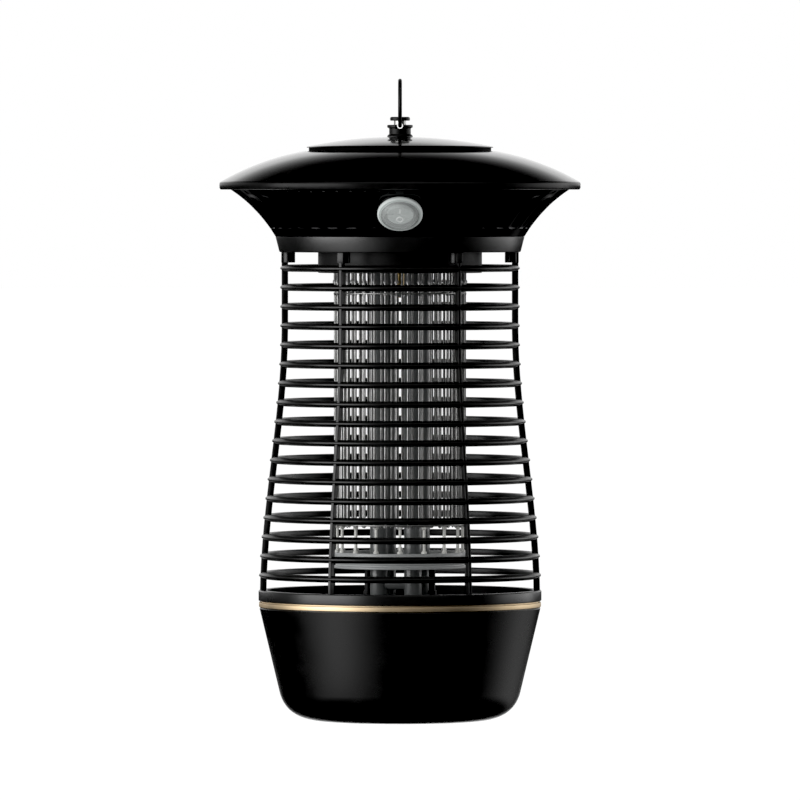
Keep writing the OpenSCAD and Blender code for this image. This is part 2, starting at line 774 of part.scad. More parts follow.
module lamp_holder() {
    color([0.9, 0.9, 0.88]) difference() {
        union() {
            translate([0, 0, holder_z]) cylinder(r = holder_r, h = holder_h);
            translate([0, 0, deck_top]) cylinder(r = holder_screw_r + 3.6, h = holder_flange_t);
        }
        translate([0, 0, holder_z - 1]) ring_of(4, 10, 45) cylinder(d = 2.6, h = 8, $fn = 32);
        translate([0, 0, deck_top - 1]) ring_of(3, holder_screw_r, 30) {
            cylinder(d = small_screw_d + screw_gap, h = holder_flange_t + 2);
        }
    }
}

module holder_screws() {
    color("silver") ring_of(3, holder_screw_r, 30) {
        translate([0, 0, deck_top + holder_flange_t]) rotate([180, 0, 0]) {
            screw(small_screw_d, holder_flange_t + deck_t, 5, 1.8);
        }
    }
}

module lamp_base() {
    color([0.88, 0.88, 0.86]) translate([0, 0, lamp_z]) cylinder(d = lamp_base_d, h = lamp_base_h);
}

module lamp_pins() {
    color("gold") translate([0, 0, holder_z]) ring_of(4, 10, 45) cylinder(d = 2.3, h = 6, $fn = 32);
}

// Four dark tubes with round ends, joined in pairs by a short bridge near the ends
module lamp_tubes() {
    r = tube_d / 2;
    half = tube_circle_r / sqrt(2);
    low = tube_end_z + r;
    color([0.08, 0.07, 0.12]) difference() {
        union() {
            ring_of(4, tube_circle_r, tube_turn) translate([0, 0, low]) {
                cylinder(r = r, h = lamp_z - low);
                sphere(r = r);
            }
            for (a = [45, 225]) rotate([0, 0, tube_turn + a]) {
                translate([half, half, low + 6]) rotate([90, 0, 0]) cylinder(d = bridge_d, h = 2 * half);
            }
        }
        ring_of(4, tube_circle_r, tube_turn) translate([0, 0, low]) {
            cylinder(r = r - glass_t, h = lamp_z - low + 1);
            sphere(r = r - glass_t);
        }
    }
}

// ---------------------------------------------------------------- grids

module grid_carrier() {
    bore_r = lamp_base_d / 2 + 0.6;
    color([0.06, 0.06, 0.06]) difference() {
        union() {
            difference() {
                translate([0, 0, carrier_z]) cylinder(r = carrier_r, h = carrier_h, $fn = 128);
                translate([0, 0, carrier_z + carrier_wall]) {
                    cylinder(r = carrier_r - carrier_wall, h = carrier_h, $fn = 128);
                }
            }
            intersection() {
                translate([0, 0, carrier_z]) ring_of(4, carrier_screw_r, carrier_screw_turn) {
                    cylinder(d = 7.6, h = carrier_h);
                }
                translate([0, 0, carrier_z]) cylinder(r = carrier_r, h = carrier_h, $fn = 128);
            }
            translate([0, 0, carrier_z - peg_l]) ring_of(wire_n, outer_grid_r, grid_turn - 90) {
                cylinder(d = peg_d, h = peg_l + 1, $fn = 24);
            }
        }
        translate([0, 0, carrier_z - 1]) cylinder(r = bore_r, h = carrier_wall + 2);
        translate([0, 0, carrier_z + 6]) ring_of(4, carrier_screw_r, carrier_screw_turn) {
            cylinder(d = small_screw_d + screw_gap, h = carrier_h);
        }
        for (r = [outer_stud_r, inner_stud_r]) {
            translate([0, r, carrier_z - 1]) cylinder(d = grid_stud_d + 0.2, h = carrier_wall + 2, $fn = 32);
        }
    }
}

module carrier_screws() {
    color("silver") translate([0, 0, deck_top]) ring_of(4, carrier_screw_r, carrier_screw_turn) {
        rotate([180, 0, 0]) screw(small_screw_d, deck_t + 9, 5, 1.8);
    }
}

// Brass studs that carry the two leads through the carrier to the grids' lugs
module grid_studs() {
    color("goldenrod") for (r = [outer_stud_r, inner_stud_r]) translate([0, r, 0]) {
        translate([0, 0, hoop_z + hoop_t]) cylinder(d = 5.6, h = hoop_drop, $fn = 48);
        translate([0, 0, hoop_z - 2.6]) cylinder(d = grid_stud_d, h = carrier_z + 8 - hoop_z + 2.6, $fn = 32);
    }
}

module stud_nuts() {
    color("silver") for (r = [outer_stud_r, inner_stud_r]) translate([0, r, hoop_z - 2]) difference() {
        hexagon(5.5, 2);
        translate([0, 0, -1]) cylinder(d = grid_stud_d + 0.04, h = 4, $fn = 32);
    }
}

// Wires that stand round a circle, with a flat hoop near each end and a lug for the stud
module grid(r, hoop_r, top, turn, lug_r) {
    reach = abs(lug_r - r);
    color("silver") difference() {
        union() {
            translate([0, 0, low_hoop_z]) ring_of(wire_n, r, turn - 90) {
                cylinder(d = wire_d, h = top - low_hoop_z, $fn = 24);
            }
            for (z = [low_hoop_z, hoop_z]) translate([0, 0, z]) {
                tube(hoop_r + hoop_w / 2, hoop_r - hoop_w / 2, hoop_t);
            }
            translate([-3, min(r, lug_r), hoop_z]) cube([6, reach, hoop_t]);
            translate([0, lug_r, hoop_z]) cylinder(d = 6, h = hoop_t, $fn = 48);
        }
        translate([0, lug_r, hoop_z - 1]) cylinder(d = grid_stud_d + 0.2, h = hoop_t + 2, $fn = 32);
    }
}

module outer_grid() {
    grid(outer_grid_r, outer_grid_r + 0.5, carrier_z - peg_l, grid_turn, outer_stud_r);
}

module inner_grid() {
    grid(inner_grid_r, inner_grid_r - 0.4, carrier_z, grid_turn + 180 / wire_n, inner_stud_r);
}

standoff_r = outer_grid_r - grid_gap / 2;

module grid_standoffs() {
    color([0.85, 0.85, 0.82]) translate([0, 0, drum_top]) ring_of(standoff_n, standoff_r, -90) {
        cylinder(d = standoff_d, h = standoff_l, $fn = 32);
    }
}

module lower_insulator() {
    drum_r = standoff_r + standoff_d / 2 + 0.1;
    wall = standoff_d + 0.8;
    floor_z = drum_z + 2.5;
    color([0.72, 0.73, 0.75]) difference() {
        union() {
            rotate_extrude() polygon([
                [0, floor_z], [drum_r - wall, floor_z], [drum_r - wall, drum_z], [drum_r + 1, drum_z],
                [drum_r + 1, drum_z + 1.5], [drum_r - 0.6, drum_z + 1.9], [drum_r - 0.6, drum_z + 2.9],
                [drum_r, drum_z + 3.3], [drum_r, drum_top], [drum_r - wall, drum_top],
                [drum_r - wall, floor_z + 2.4], [0, floor_z + 2.4]
            ]);
            for (s = [-1, 1]) translate([s * (tube_circle_r + 4.9), 0, 0]) {
                translate([0, 0, drum_z - 17.5]) cylinder(d = 4.4, h = 21, $fn = 48);
                translate([0, 0, drum_z - 17.5]) cylinder(d = 6, h = 2.4, $fn = 48);
            }
        }
        translate([0, 0, drum_z]) ring_of(4, tube_circle_r, tube_turn) {
            cylinder(d = tube_d + 1, h = drum_h);
        }
    }
}

// ---------------------------------------------------------------- cage, trim and tray

module louvre(z) {
    r = lip_r(z);
    h = louvre_h / 2;
    lip = louvre_lip / 2;
    inner = r - louvre_depth;
    rotate_extrude($fn = 192) polygon([
        [r, z - lip], [r, z + lip], [r - 3, z + h], [inner, z + h * 0.7],
        [inner, z - h * 0.7], [r - 3, z - h]
    ]);
}

module post() {
    steps = 14;
    z0 = foot_z + 1;
    z1 = cage_top_z;
    face = [for (i = [0:steps]) let (z = z0 + (z1 - z0) * i / steps) [lip_r(z) - post_inset, z]];
    rotate([90, 0, 0]) translate([0, 0, -post_w / 2]) linear_extrude(post_w) {
        polygon(concat(face, reversed([for (p = face) p - [post_depth, 0]])));
    }
}

module cage() {
    boss_z = cage_top_z - boss_h;
    color([0.1, 0.1, 0.11]) difference() {
        union() {
            rotate_extrude($fn = 192) polygon([
                [spigot_r - spigot_wall, foot_z - spigot_h], [spigot_r, foot_z - spigot_h],
                [spigot_r, foot_z], [cage_foot_r - 0.4, foot_z], [cage_foot_r, foot_z + 0.4],
                [cage_foot_r, foot_z + foot_h - 0.6], [cage_foot_r - 0.6, foot_z + foot_h],
                [lip_r(foot_z + foot_h) - post_inset - post_depth - 0.3, foot_z + foot_h],
                [spigot_r - spigot_wall, foot_z + foot_h - 2]
            ]);
            for (i = [0:louvre_n - 1]) louvre(louvre_z0 + i * louvre_pitch);
            ring_of(post_n, 0, post_angle) post();
            translate([0, 0, boss_z]) ring_of(post_n, cage_screw_r, post_angle) {
                cylinder(d = boss_d, h = boss_h);
                translate([0, -boss_d / 4, 0]) cube([cage_top_r - post_inset - cage_screw_r, boss_d / 2, boss_h]);
            }
        }
        translate([0, 0, boss_z - 1]) ring_of(post_n, cage_screw_r, post_angle) {
            cylinder(d = screw_d + screw_gap, h = boss_h + 2);
            cylinder(d = screw_head_d + 0.4, h = screw_head_h + 1);
        }
    }
}

module trim_ring() {
    neck_r = trim_r - groove_depth;
    bore_r = spigot_r + fit_gap / 2;
    color([0.76, 0.62, 0.42]) rotate_extrude($fn = 192) polygon([
        [bore_r, trim_z], [trim_r - 0.3, trim_z], [trim_r, trim_z + 0.3],
        [trim_r, trim_z + trim_h - 0.3], [trim_r - 0.3, trim_z + trim_h],
        [neck_r, trim_z + trim_h], [neck_r, foot_z], [bore_r, foot_z]
    ]);
}

// Bowl with a straight tapering wall, a rounded corner and a flat base
module tray() {
    neck_r = tray_mouth_r - 1;
    taper = (tray_mouth_r - tray_corner_r) / (tray_h - tray_corner_h);
    toe = [tray_corner_r - taper * tray_corner_h, 0];
    corner = [tray_corner_r, tray_corner_h];
    outer = curve3(corner, toe, [tray_base_r, 0], 9);
    inner = curve3(corner - [tray_wall, 0], toe + [-tray_wall, tray_wall], [tray_base_r, tray_wall], 9);
    bore_r = tray_mouth_r - tray_wall;
    ledge = foot_z - spigot_h - 2;
    color([0.09, 0.09, 0.1]) rotate_extrude($fn = 192) polygon(concat(
        [[0, tray_wall]],
        reversed(inner),
        [[tray_mouth_r - taper * (tray_h - ledge) - tray_wall, ledge], [bore_r, ledge + 2]],
        [[bore_r, tray_h + 0.3], [neck_r, tray_h + 0.3], [neck_r, tray_h]],
        [[tray_mouth_r - 0.2, tray_h], [tray_mouth_r, tray_h - 0.3]],
        outer,
        [[0, 0]]
    ));
}

// ---------------------------------------------------------------- internal leads

lead_d = 2;
stub = 1.5;
up = [0, 0, 1];
// Where the gland's sleeve ends inside the skirt, and which way it points
gland_in = [0, seat_r - 11 * cos(seat_tilt), seat_z + 11 * sin(seat_tilt)];
inward_rear = [0, -cos(seat_tilt), sin(seat_tilt)];
// Where the switch's tabs end, and which way they point
tab_in = [
    0, -(seat_r - (barrel_l + terminal_l) * cos(seat_tilt)),
    seat_z + (barrel_l + terminal_l) * sin(seat_tilt)
];
inward_front = [0, cos(seat_tilt), sin(seat_tilt)];

module mains_leads() {
    for (s = [-1, 1]) {
        start = gland_in + [s * 1.3, 0, 0];
        finish = [s * 8 + 24, board_y / 2 - 4, board_top];
        color(s < 0 ? "saddlebrown" : "royalblue") {
            lead(route(start, inward_rear, finish, up, 14, 24), lead_d);
        }
    }
}

module switch_leads() {
    for (s = [-1, 1]) {
        start = tab_in + [s * 4.5, 0, 0];
        finish = [s * 6, 3 - board_y / 2, board_top];
        color("black") {
            lead(route(start, inward_front, finish, up, 12, 24), lead_d);
        }
    }
}

// Each leaves the holder's top, runs out under the board and comes back down onto its end
module lamp_leads() {
    top = holder_z + holder_h;
    out_x = board_x / 2 + 7;
    end_x = board_x / 2 - 5;
    for (s = [-1, 1]) {
        color("ivory") lead(concat(
            [[s * 14, 0, top], [s * 14, 0, top + 1]],
            bend([s * 14.4, 0, top + 2], [s * 15.5, 0, top + 3], [s * 18, 0, top + 3], [s * 22, 0, top + 3], 4),
            bend([s * (out_x - 12), 0, top + 3], [s * out_x, 0, top + 3], [s * out_x, 0, board_top + 7],
                [s * (out_x - 6), 0, board_top + 7], 8),
            bend([s * (end_x + 4), 0, board_top + 7], [s * (end_x + 1), 0, board_top + 7],
                [s * end_x, 0, board_top + 5], [s * end_x, 0, board_top + 3], 4),
            [[s * end_x, 0, board_top]]
        ), lead_d, 90);
    }
}

// Each rises from the board's edge and drops straight down onto its stud
module grid_leads() {
    for (r = [outer_stud_r, inner_stud_r]) {
        start = [r == outer_stud_r ? -14 : -2, board_y / 2 - 3, board_top];
        finish = [0, r, carrier_z + 8];
        drop = board_top - finish.z;
        color("crimson") lead(concat(
            [start],
            bend(start + stub * up, start + 15 * up, finish + (drop + 16) * up, finish + drop * up, 9),
            [for (i = [2:-1:0]) finish + drop * i / 3 * up]
        ), lead_d);
    }
}

roof_shell();
top_cap();
hanger_boss();
hanger_washer();
hanger_nut();
hanging_ring();
skirt();
collar();
deck();
roof_screws();
cage_screws();
switch_body();
switch_rocker();
switch_boot();
switch_terminals();
gland_body();
gland_seal();
gland_cap();
gland_nut();
driver_board();
board_screws();
transformer_core();
transformer_coil();
capacitors();
fuse();
lamp_holder();
holder_screws();
lamp_base();
lamp_pins();
lamp_tubes();
grid_carrier();
carrier_screws();
grid_studs();
stud_nuts();
outer_grid();
inner_grid();
grid_standoffs();
lower_insulator();
cage();
trim_ring();
tray();
mains_leads();
switch_leads();
lamp_leads();
grid_leads();
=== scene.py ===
"""Electric bug zapper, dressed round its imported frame.

Every piece is built in metres in the frame's own axes: +Z up, -Y the front with the switch.
"""

import json
import logging
import math
from dataclasses import dataclass
from enum import Enum
from typing import Callable, Sequence

import bmesh
import bpy
from mathutils import Matrix, Vector


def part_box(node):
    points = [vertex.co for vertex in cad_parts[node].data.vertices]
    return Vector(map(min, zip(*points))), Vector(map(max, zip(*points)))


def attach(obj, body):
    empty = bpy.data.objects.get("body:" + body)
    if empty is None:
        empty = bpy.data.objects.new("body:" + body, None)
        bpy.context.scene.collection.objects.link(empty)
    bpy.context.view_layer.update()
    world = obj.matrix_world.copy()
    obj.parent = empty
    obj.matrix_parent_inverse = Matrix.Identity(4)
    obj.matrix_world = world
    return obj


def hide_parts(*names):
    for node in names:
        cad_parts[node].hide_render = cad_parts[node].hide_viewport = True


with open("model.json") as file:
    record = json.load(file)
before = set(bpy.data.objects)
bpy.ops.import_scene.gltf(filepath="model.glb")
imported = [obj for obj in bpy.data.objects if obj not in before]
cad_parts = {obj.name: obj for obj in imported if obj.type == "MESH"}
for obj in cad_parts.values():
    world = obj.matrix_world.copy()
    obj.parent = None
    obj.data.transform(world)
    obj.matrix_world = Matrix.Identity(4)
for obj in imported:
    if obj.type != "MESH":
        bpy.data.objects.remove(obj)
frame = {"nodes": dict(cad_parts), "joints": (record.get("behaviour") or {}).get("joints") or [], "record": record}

LOG = logging.getLogger("zapper")
MM = 0.001
TURN = 2 * math.pi
MERGE = 1e-6
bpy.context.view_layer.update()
MIX_COLOUR_INPUTS = (0, 6, 7)
MIX_COLOUR_RESULT = 2

Point2 = tuple[float, float]
Ends = tuple[float, float, float, float]


# ---------------------------------------------------------------- shader tools


class Detail(Enum):
    """Surface grain of a finish: size and depth in millimetres, and its stretch along X, Y and Z."""

    MOULDED = (0.4, 0.02, (1.0, 1.0, 1.0))
    SPARKED = (0.7, 0.05, (1.0, 1.0, 1.0))
    POLISHED = (2.6, 0.01, (1.0, 1.0, 1.0))
    DRAWN = (0.4, 0.0006, (1.0, 1.0, 0.04))
    TURNED = (0.5, 0.006, (1.0, 1.0, 9.0))
    CAST = (0.5, 0.03, (1.0, 1.0, 1.0))
    WOUND = (0.6, 0.03, (1.0, 8.0, 1.0))


class Graph:
    """Small helper that adds and links nodes in one node tree."""

    def __init__(self, tree: bpy.types.NodeTree) -> None:
        """Keeps the tree that the nodes go into.

        Args:
            tree: The material's or group's node tree.
        """
        self.tree = tree

    def add(self, kind: str, **sockets: object) -> bpy.types.Node:
        """Adds a node, sets its attributes and sockets, and links what is a socket.

        Args:
            kind: The node's type name without its ShaderNode prefix.
            **sockets: Attributes by name, or input sockets with spaces as underscores.

        Returns:
            The new node.
        """
        node = self.tree.nodes.new("ShaderNode" + kind)
        for name, value in sockets.items():
            if hasattr(node, name):
                setattr(node, name, value)
            else:
                self.feed(node.inputs[name.replace("_", " ")], value)
        return node

    def feed(self, socket: bpy.types.NodeSocket, value: object) -> None:
        """Links a socket to an input, or sets the input's plain value."""
        if isinstance(value, bpy.types.NodeSocket):
            self.tree.links.new(value, socket)
        else:
            socket.default_value = value

    def fill(self, node: bpy.types.Node, *values: object) -> bpy.types.NodeSocket:
        """Feeds a node's inputs in their order and returns its first output."""
        for socket, value in zip(node.inputs, values):
            self.feed(socket, value)
        return node.outputs[0]

    def math(self, operation: str, a: object, b: object = 0.0, clamp: bool = False) -> bpy.types.NodeSocket:
        """Adds a math node and returns its result."""
        return self.fill(self.add("Math", operation=operation, use_clamp=clamp), a, b)

    def times(self, *factors: object) -> bpy.types.NodeSocket:
        """Multiplies the factors in their order and returns the product."""
        product = factors[0]
        for factor in factors[1:]:
            product = self.math("MULTIPLY", product, factor)
        return product

    def mix(self, factor: object, a: object, b: object) -> bpy.types.NodeSocket:
        """Mixes two colours and returns the result."""
        node = self.add("Mix", data_type="RGBA")
        for index, value in zip(MIX_COLOUR_INPUTS, (factor, a, b)):
            self.feed(node.inputs[index], value)
        return node.outputs[MIX_COLOUR_RESULT]

    def remap(
        self, value: object, low: object, high: object, to_low: float = 0.0, to_high: float = 1.0
    ) -> bpy.types.NodeSocket:
        """Maps a value from one range to another, held at both ends."""
        return self.fill(self.add("MapRange", clamp=True), value, low, high, to_low, to_high)

    def noise(
        self, spot: bpy.types.NodeSocket, scale: object, detail: float, roughness: float = 0.5
    ) -> bpy.types.NodeSocket:
        """Adds a noise texture and returns its value."""
        return self.add("TexNoise", Vector=spot, Scale=scale, Detail=detail, Roughness=roughness).outputs[0]

    def axes(self, vector: bpy.types.NodeSocket) -> Sequence[bpy.types.NodeSocket]:
        """Splits a vector into its X, Y and Z."""
        return self.add("SeparateXYZ", Vector=vector).outputs


def blank_graph(owner: bpy.types.Material | bpy.types.World) -> Graph:
    """Empties the node tree of a material or a world and returns its graph."""
    owner.use_nodes = True
    owner.node_tree.nodes.clear()
    return Graph(owner.node_tree)


def new_group(
    name: str, inputs: dict[str, tuple[str, object]], outputs: Sequence[str]
) -> tuple[Graph, bpy.types.Node, bpy.types.Node]:
    """Makes a shader node group with a Vector input, more named inputs and value outputs.

    Args:
        name: The group's name.
        inputs: Socket type and default value for each further input's name.
        outputs: The outputs' names.

    Returns:
        The group's graph, its input node and its output node.
    """
    group = bpy.data.node_groups.new(name, "ShaderNodeTree")
    group.interface.new_socket("Vector", in_out="INPUT", socket_type="NodeSocketVector")
    for label, (kind, default) in inputs.items():
        socket = group.interface.new_socket(label, in_out="INPUT", socket_type="NodeSocket" + kind)
        socket.default_value = default
    for label in outputs:
        group.interface.new_socket(label, in_out="OUTPUT", socket_type="NodeSocketFloat")
    return Graph(group), group.nodes.new("NodeGroupInput"), group.nodes.new("NodeGroupOutput")


def build_grain_group() -> bpy.types.NodeTree:
    """Fine surface grain: a height for bump and a slow mask for roughness and colour.

    Returns:
        The node group.
    """
    inputs = {"Scale": ("Float", 900.0), "Stretch": ("Vector", (1.0, 1.0, 1.0))}
    g, source, sink = new_group("surface_grain", inputs, ("Height", "Mottle"))
    spot = source.outputs["Vector"]
    stretched = g.fill(g.add("VectorMath", operation="MULTIPLY"), spot, source.outputs["Stretch"])
    slow = g.noise(spot, scale=38.0, detail=4.0, roughness=0.62)
    g.feed(sink.inputs["Height"], g.noise(stretched, source.outputs["Scale"], detail=3.0, roughness=0.6))
    g.feed(sink.inputs["Mottle"], g.remap(slow, 0.3, 0.7))
    return g.tree


def build_wear_group() -> bpy.types.NodeTree:
    """Rubbed edges: a mask that is 1 on sharp outer edges, broken up by noise.

    Returns:
        The node group.
    """
    flat, flat_margin = 0.5, 0.505
    g, source, sink = new_group("edge_wear", {"Reach": ("Float", 0.06), "Amount": ("Float", 0.4)}, ("Mask",))
    sharpness = g.add("NewGeometry").outputs["Pointiness"]
    edge = g.remap(sharpness, flat_margin, g.math("ADD", flat, source.outputs["Reach"]))
    ragged = g.remap(g.noise(source.outputs["Vector"], scale=240.0, detail=4.0, roughness=0.7), 0.42, 0.62)
    g.feed(sink.inputs["Mask"], g.times(edge, ragged, source.outputs["Amount"]))
    return g.tree


def build_dust_group() -> bpy.types.NodeTree:
    """Settled dust: a mask on faces that look upwards, in soft patches with a few specks.

    Returns:
        The node group.
    """
    g, source, sink = new_group("settled_dust", {"Amount": ("Float", 0.1)}, ("Mask",))
    spot = source.outputs["Vector"]
    facing = g.remap(g.axes(g.add("NewGeometry").outputs["Normal"])[2], 0.2, 0.95)
    soft = g.remap(g.noise(spot, scale=26.0, detail=5.0, roughness=0.65), 0.38, 0.72, to_low=0.15)
    dots = g.remap(g.noise(spot, scale=1400.0, detail=1.0), 0.66, 0.72, to_high=0.8)
    spread = g.math("ADD", soft, dots, clamp=True)
    g.feed(sink.inputs["Mask"], g.times(facing, spread, source.outputs["Amount"]))
    return g.tree


GRAIN = build_grain_group()
WEAR = build_wear_group()
DUST = build_dust_group()

MADE: dict[str, bpy.types.Material] = {}
WHITE = (1.0, 1.0, 1.0, 1.0)
DUST_COLOUR = (0.42, 0.4, 0.37, 1.0)
BARE_COLOUR = (0.38, 0.38, 0.37, 1.0)
BARE_HEIGHTS = (0.39585, 0.3989)
SHADE_LIFT = 0.002
ROUGH_RANGE = (0.88, 1.15)
WORN_ROUGH = 0.12
DUST_ROUGH = 0.5


@dataclass(frozen=True)
class Finish:
    """One finish of the zapper and the material that shows it."""

    name: str
    colour: tuple[float, float, float]
    roughness: float
    detail: Detail = Detail.MOULDED
    metallic: float = 0.0
    specular: float = 0.5
    coat: float = 0.0
    mottle: float = 0.15
    wear: float = 0.1
    dust: float = 0.01
    worn: tuple[float, float, float] = (0.04, 0.04, 0.04)
    alpha: float = 1.0
    subsurface: float = 0.0
    bare_band: tuple[float, float] | None = None

    def material(self) -> bpy.types.Material:
        """Builds the finish's material once, and returns it from then on.

        Returns:
            The material.
        """
        if self.name in MADE:
            return MADE[self.name]
        material = bpy.data.materials.new("finish_" + self.name)
        MADE[self.name] = material
        material.diffuse_color = (*self.colour, 1.0)
        g = blank_graph(material)
        spot = g.add("TexCoord").outputs["Object"]
        size, depth, stretch = self.detail.value
        grain = self._group(g, GRAIN, Vector=spot, Scale=1.0 / (size * MM), Stretch=stretch)
        mottle = grain.outputs["Mottle"]
        worn = self._group(g, WEAR, Vector=spot, Amount=self.wear).outputs["Mask"]
        dusty = self._group(g, DUST, Vector=spot, Amount=self.dust).outputs["Mask"]
        shade = tuple(min(1.0, c * (1.0 + self.mottle) + SHADE_LIFT) for c in self.colour)
        colour = g.mix(mottle, (*self.colour, 1.0), (*shade, 1.0))
        colour = g.mix(worn, colour, (*self.worn, 1.0))
        colour = g.mix(dusty, colour, DUST_COLOUR)
        metal: object = self.metallic
        if self.bare_band:
            height = g.axes(spot)[2]
            above = g.math("GREATER_THAN", height, self.bare_band[0])
            metal = g.times(above, g.math("LESS_THAN", height, self.bare_band[1]))
            colour = g.mix(metal, colour, BARE_COLOUR)
        smooth, rough = (min(1.0, self.roughness * share) for share in ROUGH_RANGE)
        roughness = g.remap(mottle, 0.0, 1.0, smooth, rough)
        for mask, more in ((worn, WORN_ROUGH), (dusty, DUST_ROUGH)):
            roughness = g.math("ADD", roughness, g.times(mask, more), clamp=True)
        bump = g.add("Bump", Strength=0.5, Distance=depth * MM, Height=grain.outputs["Height"])
        shader = g.add(
            "BsdfPrincipled", Base_Color=colour, Roughness=roughness, Normal=bump.outputs[0], Metallic=metal,
            Specular_IOR_Level=self.specular, Coat_Weight=self.coat, Coat_Roughness=0.06, Alpha=self.alpha,
            Subsurface_Weight=self.subsurface, Subsurface_Radius=(4 * MM,) * 3,
        )
        g.add("OutputMaterial", Surface=shader.outputs[0])
        return material

    @staticmethod
    def _group(g: Graph, group: bpy.types.NodeTree, **values: object) -> bpy.types.Node:
        """Places a shared node group with its own values and returns its node."""
        return g.add("Group", node_tree=group, **values)


BRIGHT_WEAR = (0.8, 0.8, 0.8)
GLOSS_BLACK = (0.0012, 0.0012, 0.0013)

ROOF_GLOSS = Finish("roof_gloss_black", GLOSS_BLACK, 0.1, Detail.POLISHED, specular=0.42, wear=0.03)
SKIRT_GLOSS = Finish("skirt_gloss_black", GLOSS_BLACK, 0.14, Detail.POLISHED, specular=0.14, wear=0.03)
# Painted shade: the cap's groove and underside are darker and almost without sheen, standing in for the shade
# under the cap's overhang.
GROOVE_PAINTED_SHADE = Finish("groove_painted_shade", (0.0006, 0.0006, 0.0006), 0.7, specular=0.05, wear=0.02)
RIM_SATIN = Finish("rim_satin_black", (0.002, 0.002, 0.002), 0.3, specular=0.12)
COLLAR_SATIN = Finish(
    "collar_satin_black", (0.0022, 0.0023, 0.0023), 0.32, Detail.SPARKED, specular=0.8, mottle=0.1
)
CAGE_BLACK = Finish("cage_black", (0.0016, 0.0016, 0.0016), 0.3, specular=0.3, wear=0.15, dust=0.012)
FOOT_SATIN = Finish("foot_satin_black", (0.0018, 0.0018, 0.0018), 0.28, Detail.SPARKED, specular=0.4)
TRAY_BLACK = Finish("tray_satin_black", (0.0012, 0.0012, 0.0012), 0.26, mottle=0.05, wear=0.0)
INNER_BLACK = Finish("inner_black", (0.003, 0.003, 0.003), 0.5, specular=0.3)
GOLD = Finish(
    "champagne_gold", (0.6, 0.47, 0.3), 0.48, Detail.TURNED, metallic=1.0, wear=0.25, worn=(0.75, 0.65, 0.5)
)
HANGER_GREY = Finish(
    "hanger_grey", (0.0015, 0.0015, 0.0015), 0.4, specular=0.2, wear=0.02, bare_band=BARE_HEIGHTS
)
STEEL = Finish(
    "drawn_steel", (0.34, 0.34, 0.335), 0.34, Detail.DRAWN, metallic=1.0, dust=0.04, worn=BRIGHT_WEAR
)
RING_STEEL = Finish("ring_steel", (0.002, 0.002, 0.002), 0.35, Detail.DRAWN, specular=0.2, wear=0.05)
PEG_GREY = Finish("peg_grey", (0.25, 0.25, 0.25), 0.35, metallic=0.6)
VENT_LINING = Finish("vent_lining", (0.008, 0.008, 0.008), 0.4, Detail.SPARKED, specular=0.2)
ZINC = Finish("zinc_plate", (0.6, 0.61, 0.63), 0.3, Detail.CAST, metallic=1.0, worn=BRIGHT_WEAR)
BRASS = Finish("turned_brass", (0.4, 0.28, 0.12), 0.3, Detail.TURNED, metallic=1.0, worn=(0.9, 0.75, 0.4))
SILICONE = Finish("boot_silicone", (0.52, 0.55, 0.54), 0.34, mottle=0.04, wear=0.0, alpha=0.3)
# Painted light on the boot: the same silicone in a darker tone round the dome's foot as painted shade, and in a
# lighter tone on the flange's edge as a painted highlight.
BOOT_PAINTED_SHADE_BAND = Finish("boot_painted_shade_band", (0.33, 0.36, 0.35), 0.4, mottle=0.04, wear=0.0, subsurface=0.2)
BOOT_PAINTED_HIGHLIGHT_EDGE = Finish("boot_painted_highlight_edge", (0.46, 0.49, 0.48), 0.4, mottle=0.04, wear=0.0, subsurface=0.2)
ROCKER_GREY = Finish("rocker_grey", (0.43, 0.46, 0.45), 0.35, mottle=0.04, wear=0.02)
MARK_WHITE = Finish("mark_white", (0.95, 0.95, 0.95), 0.4, mottle=0.02, wear=0.0)
RUBBER = Finish("seal_rubber", (0.012, 0.012, 0.012), 0.7, Detail.SPARKED, dust=0.05)
CERAMIC = Finish("ivory_insulator", (0.62, 0.62, 0.59), 0.34, mottle=0.08)
DRUM_GREY = Finish("silver_grey_insulator", (0.3, 0.31, 0.31), 0.34, mottle=0.1)
DARK_GLASS = Finish("filter_glass", (0.09, 0.095, 0.095), 0.3, Detail.POLISHED, coat=0.4, wear=0.0)
BOARD_GREEN = Finish("board_green", (0.012, 0.11, 0.035), 0.35, mottle=0.3, worn=(0.5, 0.4, 0.2))
FERRITE = Finish("ferrite", (0.03, 0.03, 0.032), 0.65, Detail.CAST, mottle=0.3)
COIL_TAPE = Finish("coil_tape", (0.5, 0.3, 0.04), 0.35, Detail.WOUND)
FILM_BLUE = Finish("film_capacitor", (0.03, 0.08, 0.28), 0.3, Detail.POLISHED)
FUSE_GLASS = Finish("fuse_glass", (0.55, 0.58, 0.56), 0.12, Detail.POLISHED, coat=0.4)
WIRE_BROWN = Finish("insulation_brown", (0.07, 0.035, 0.02), 0.45)
WIRE_BLACK = Finish("insulation_black", (0.015, 0.015, 0.015), 0.45)
WIRE_WHITE = Finish("insulation_white", (0.62, 0.6, 0.52), 0.45)
WIRE_RED = Finish("insulation_red", (0.4, 0.02, 0.02), 0.4)


# ---------------------------------------------------------------- mesh tools


def arc_points(p: Point2, q: Point2, radius: float, side: int, steps: int, grow: float = 0.0) -> list[Point2]:
    """Points of a circular arc from p to q.

    Args:
        p: Start, as radius and height.
        q: End.
        radius: The arc's radius.
        side: -1 for a centre on the right of the way from p to q, 1 for the left.
        steps: Number of stretches.
        grow: How much further from the centre the points lie.

    Returns:
        The points, both ends included.
    """
    chord = Vector(q) - Vector(p)
    rise = math.sqrt(max(0.0, radius * radius - chord.length_squared / 4))
    centre = (Vector(p) + Vector(q)) / 2 + side * rise / chord.length * Vector((-chord.y, chord.x))
    a = math.atan2(p[1] - centre.y, p[0] - centre.x)
    b = math.atan2(q[1] - centre.y, q[0] - centre.x)
    reach = radius + grow
    angles = [a + (b - a) * i / steps for i in range(steps + 1)]
    return [(centre.x + reach * math.cos(t), centre.y + reach * math.sin(t)) for t in angles]


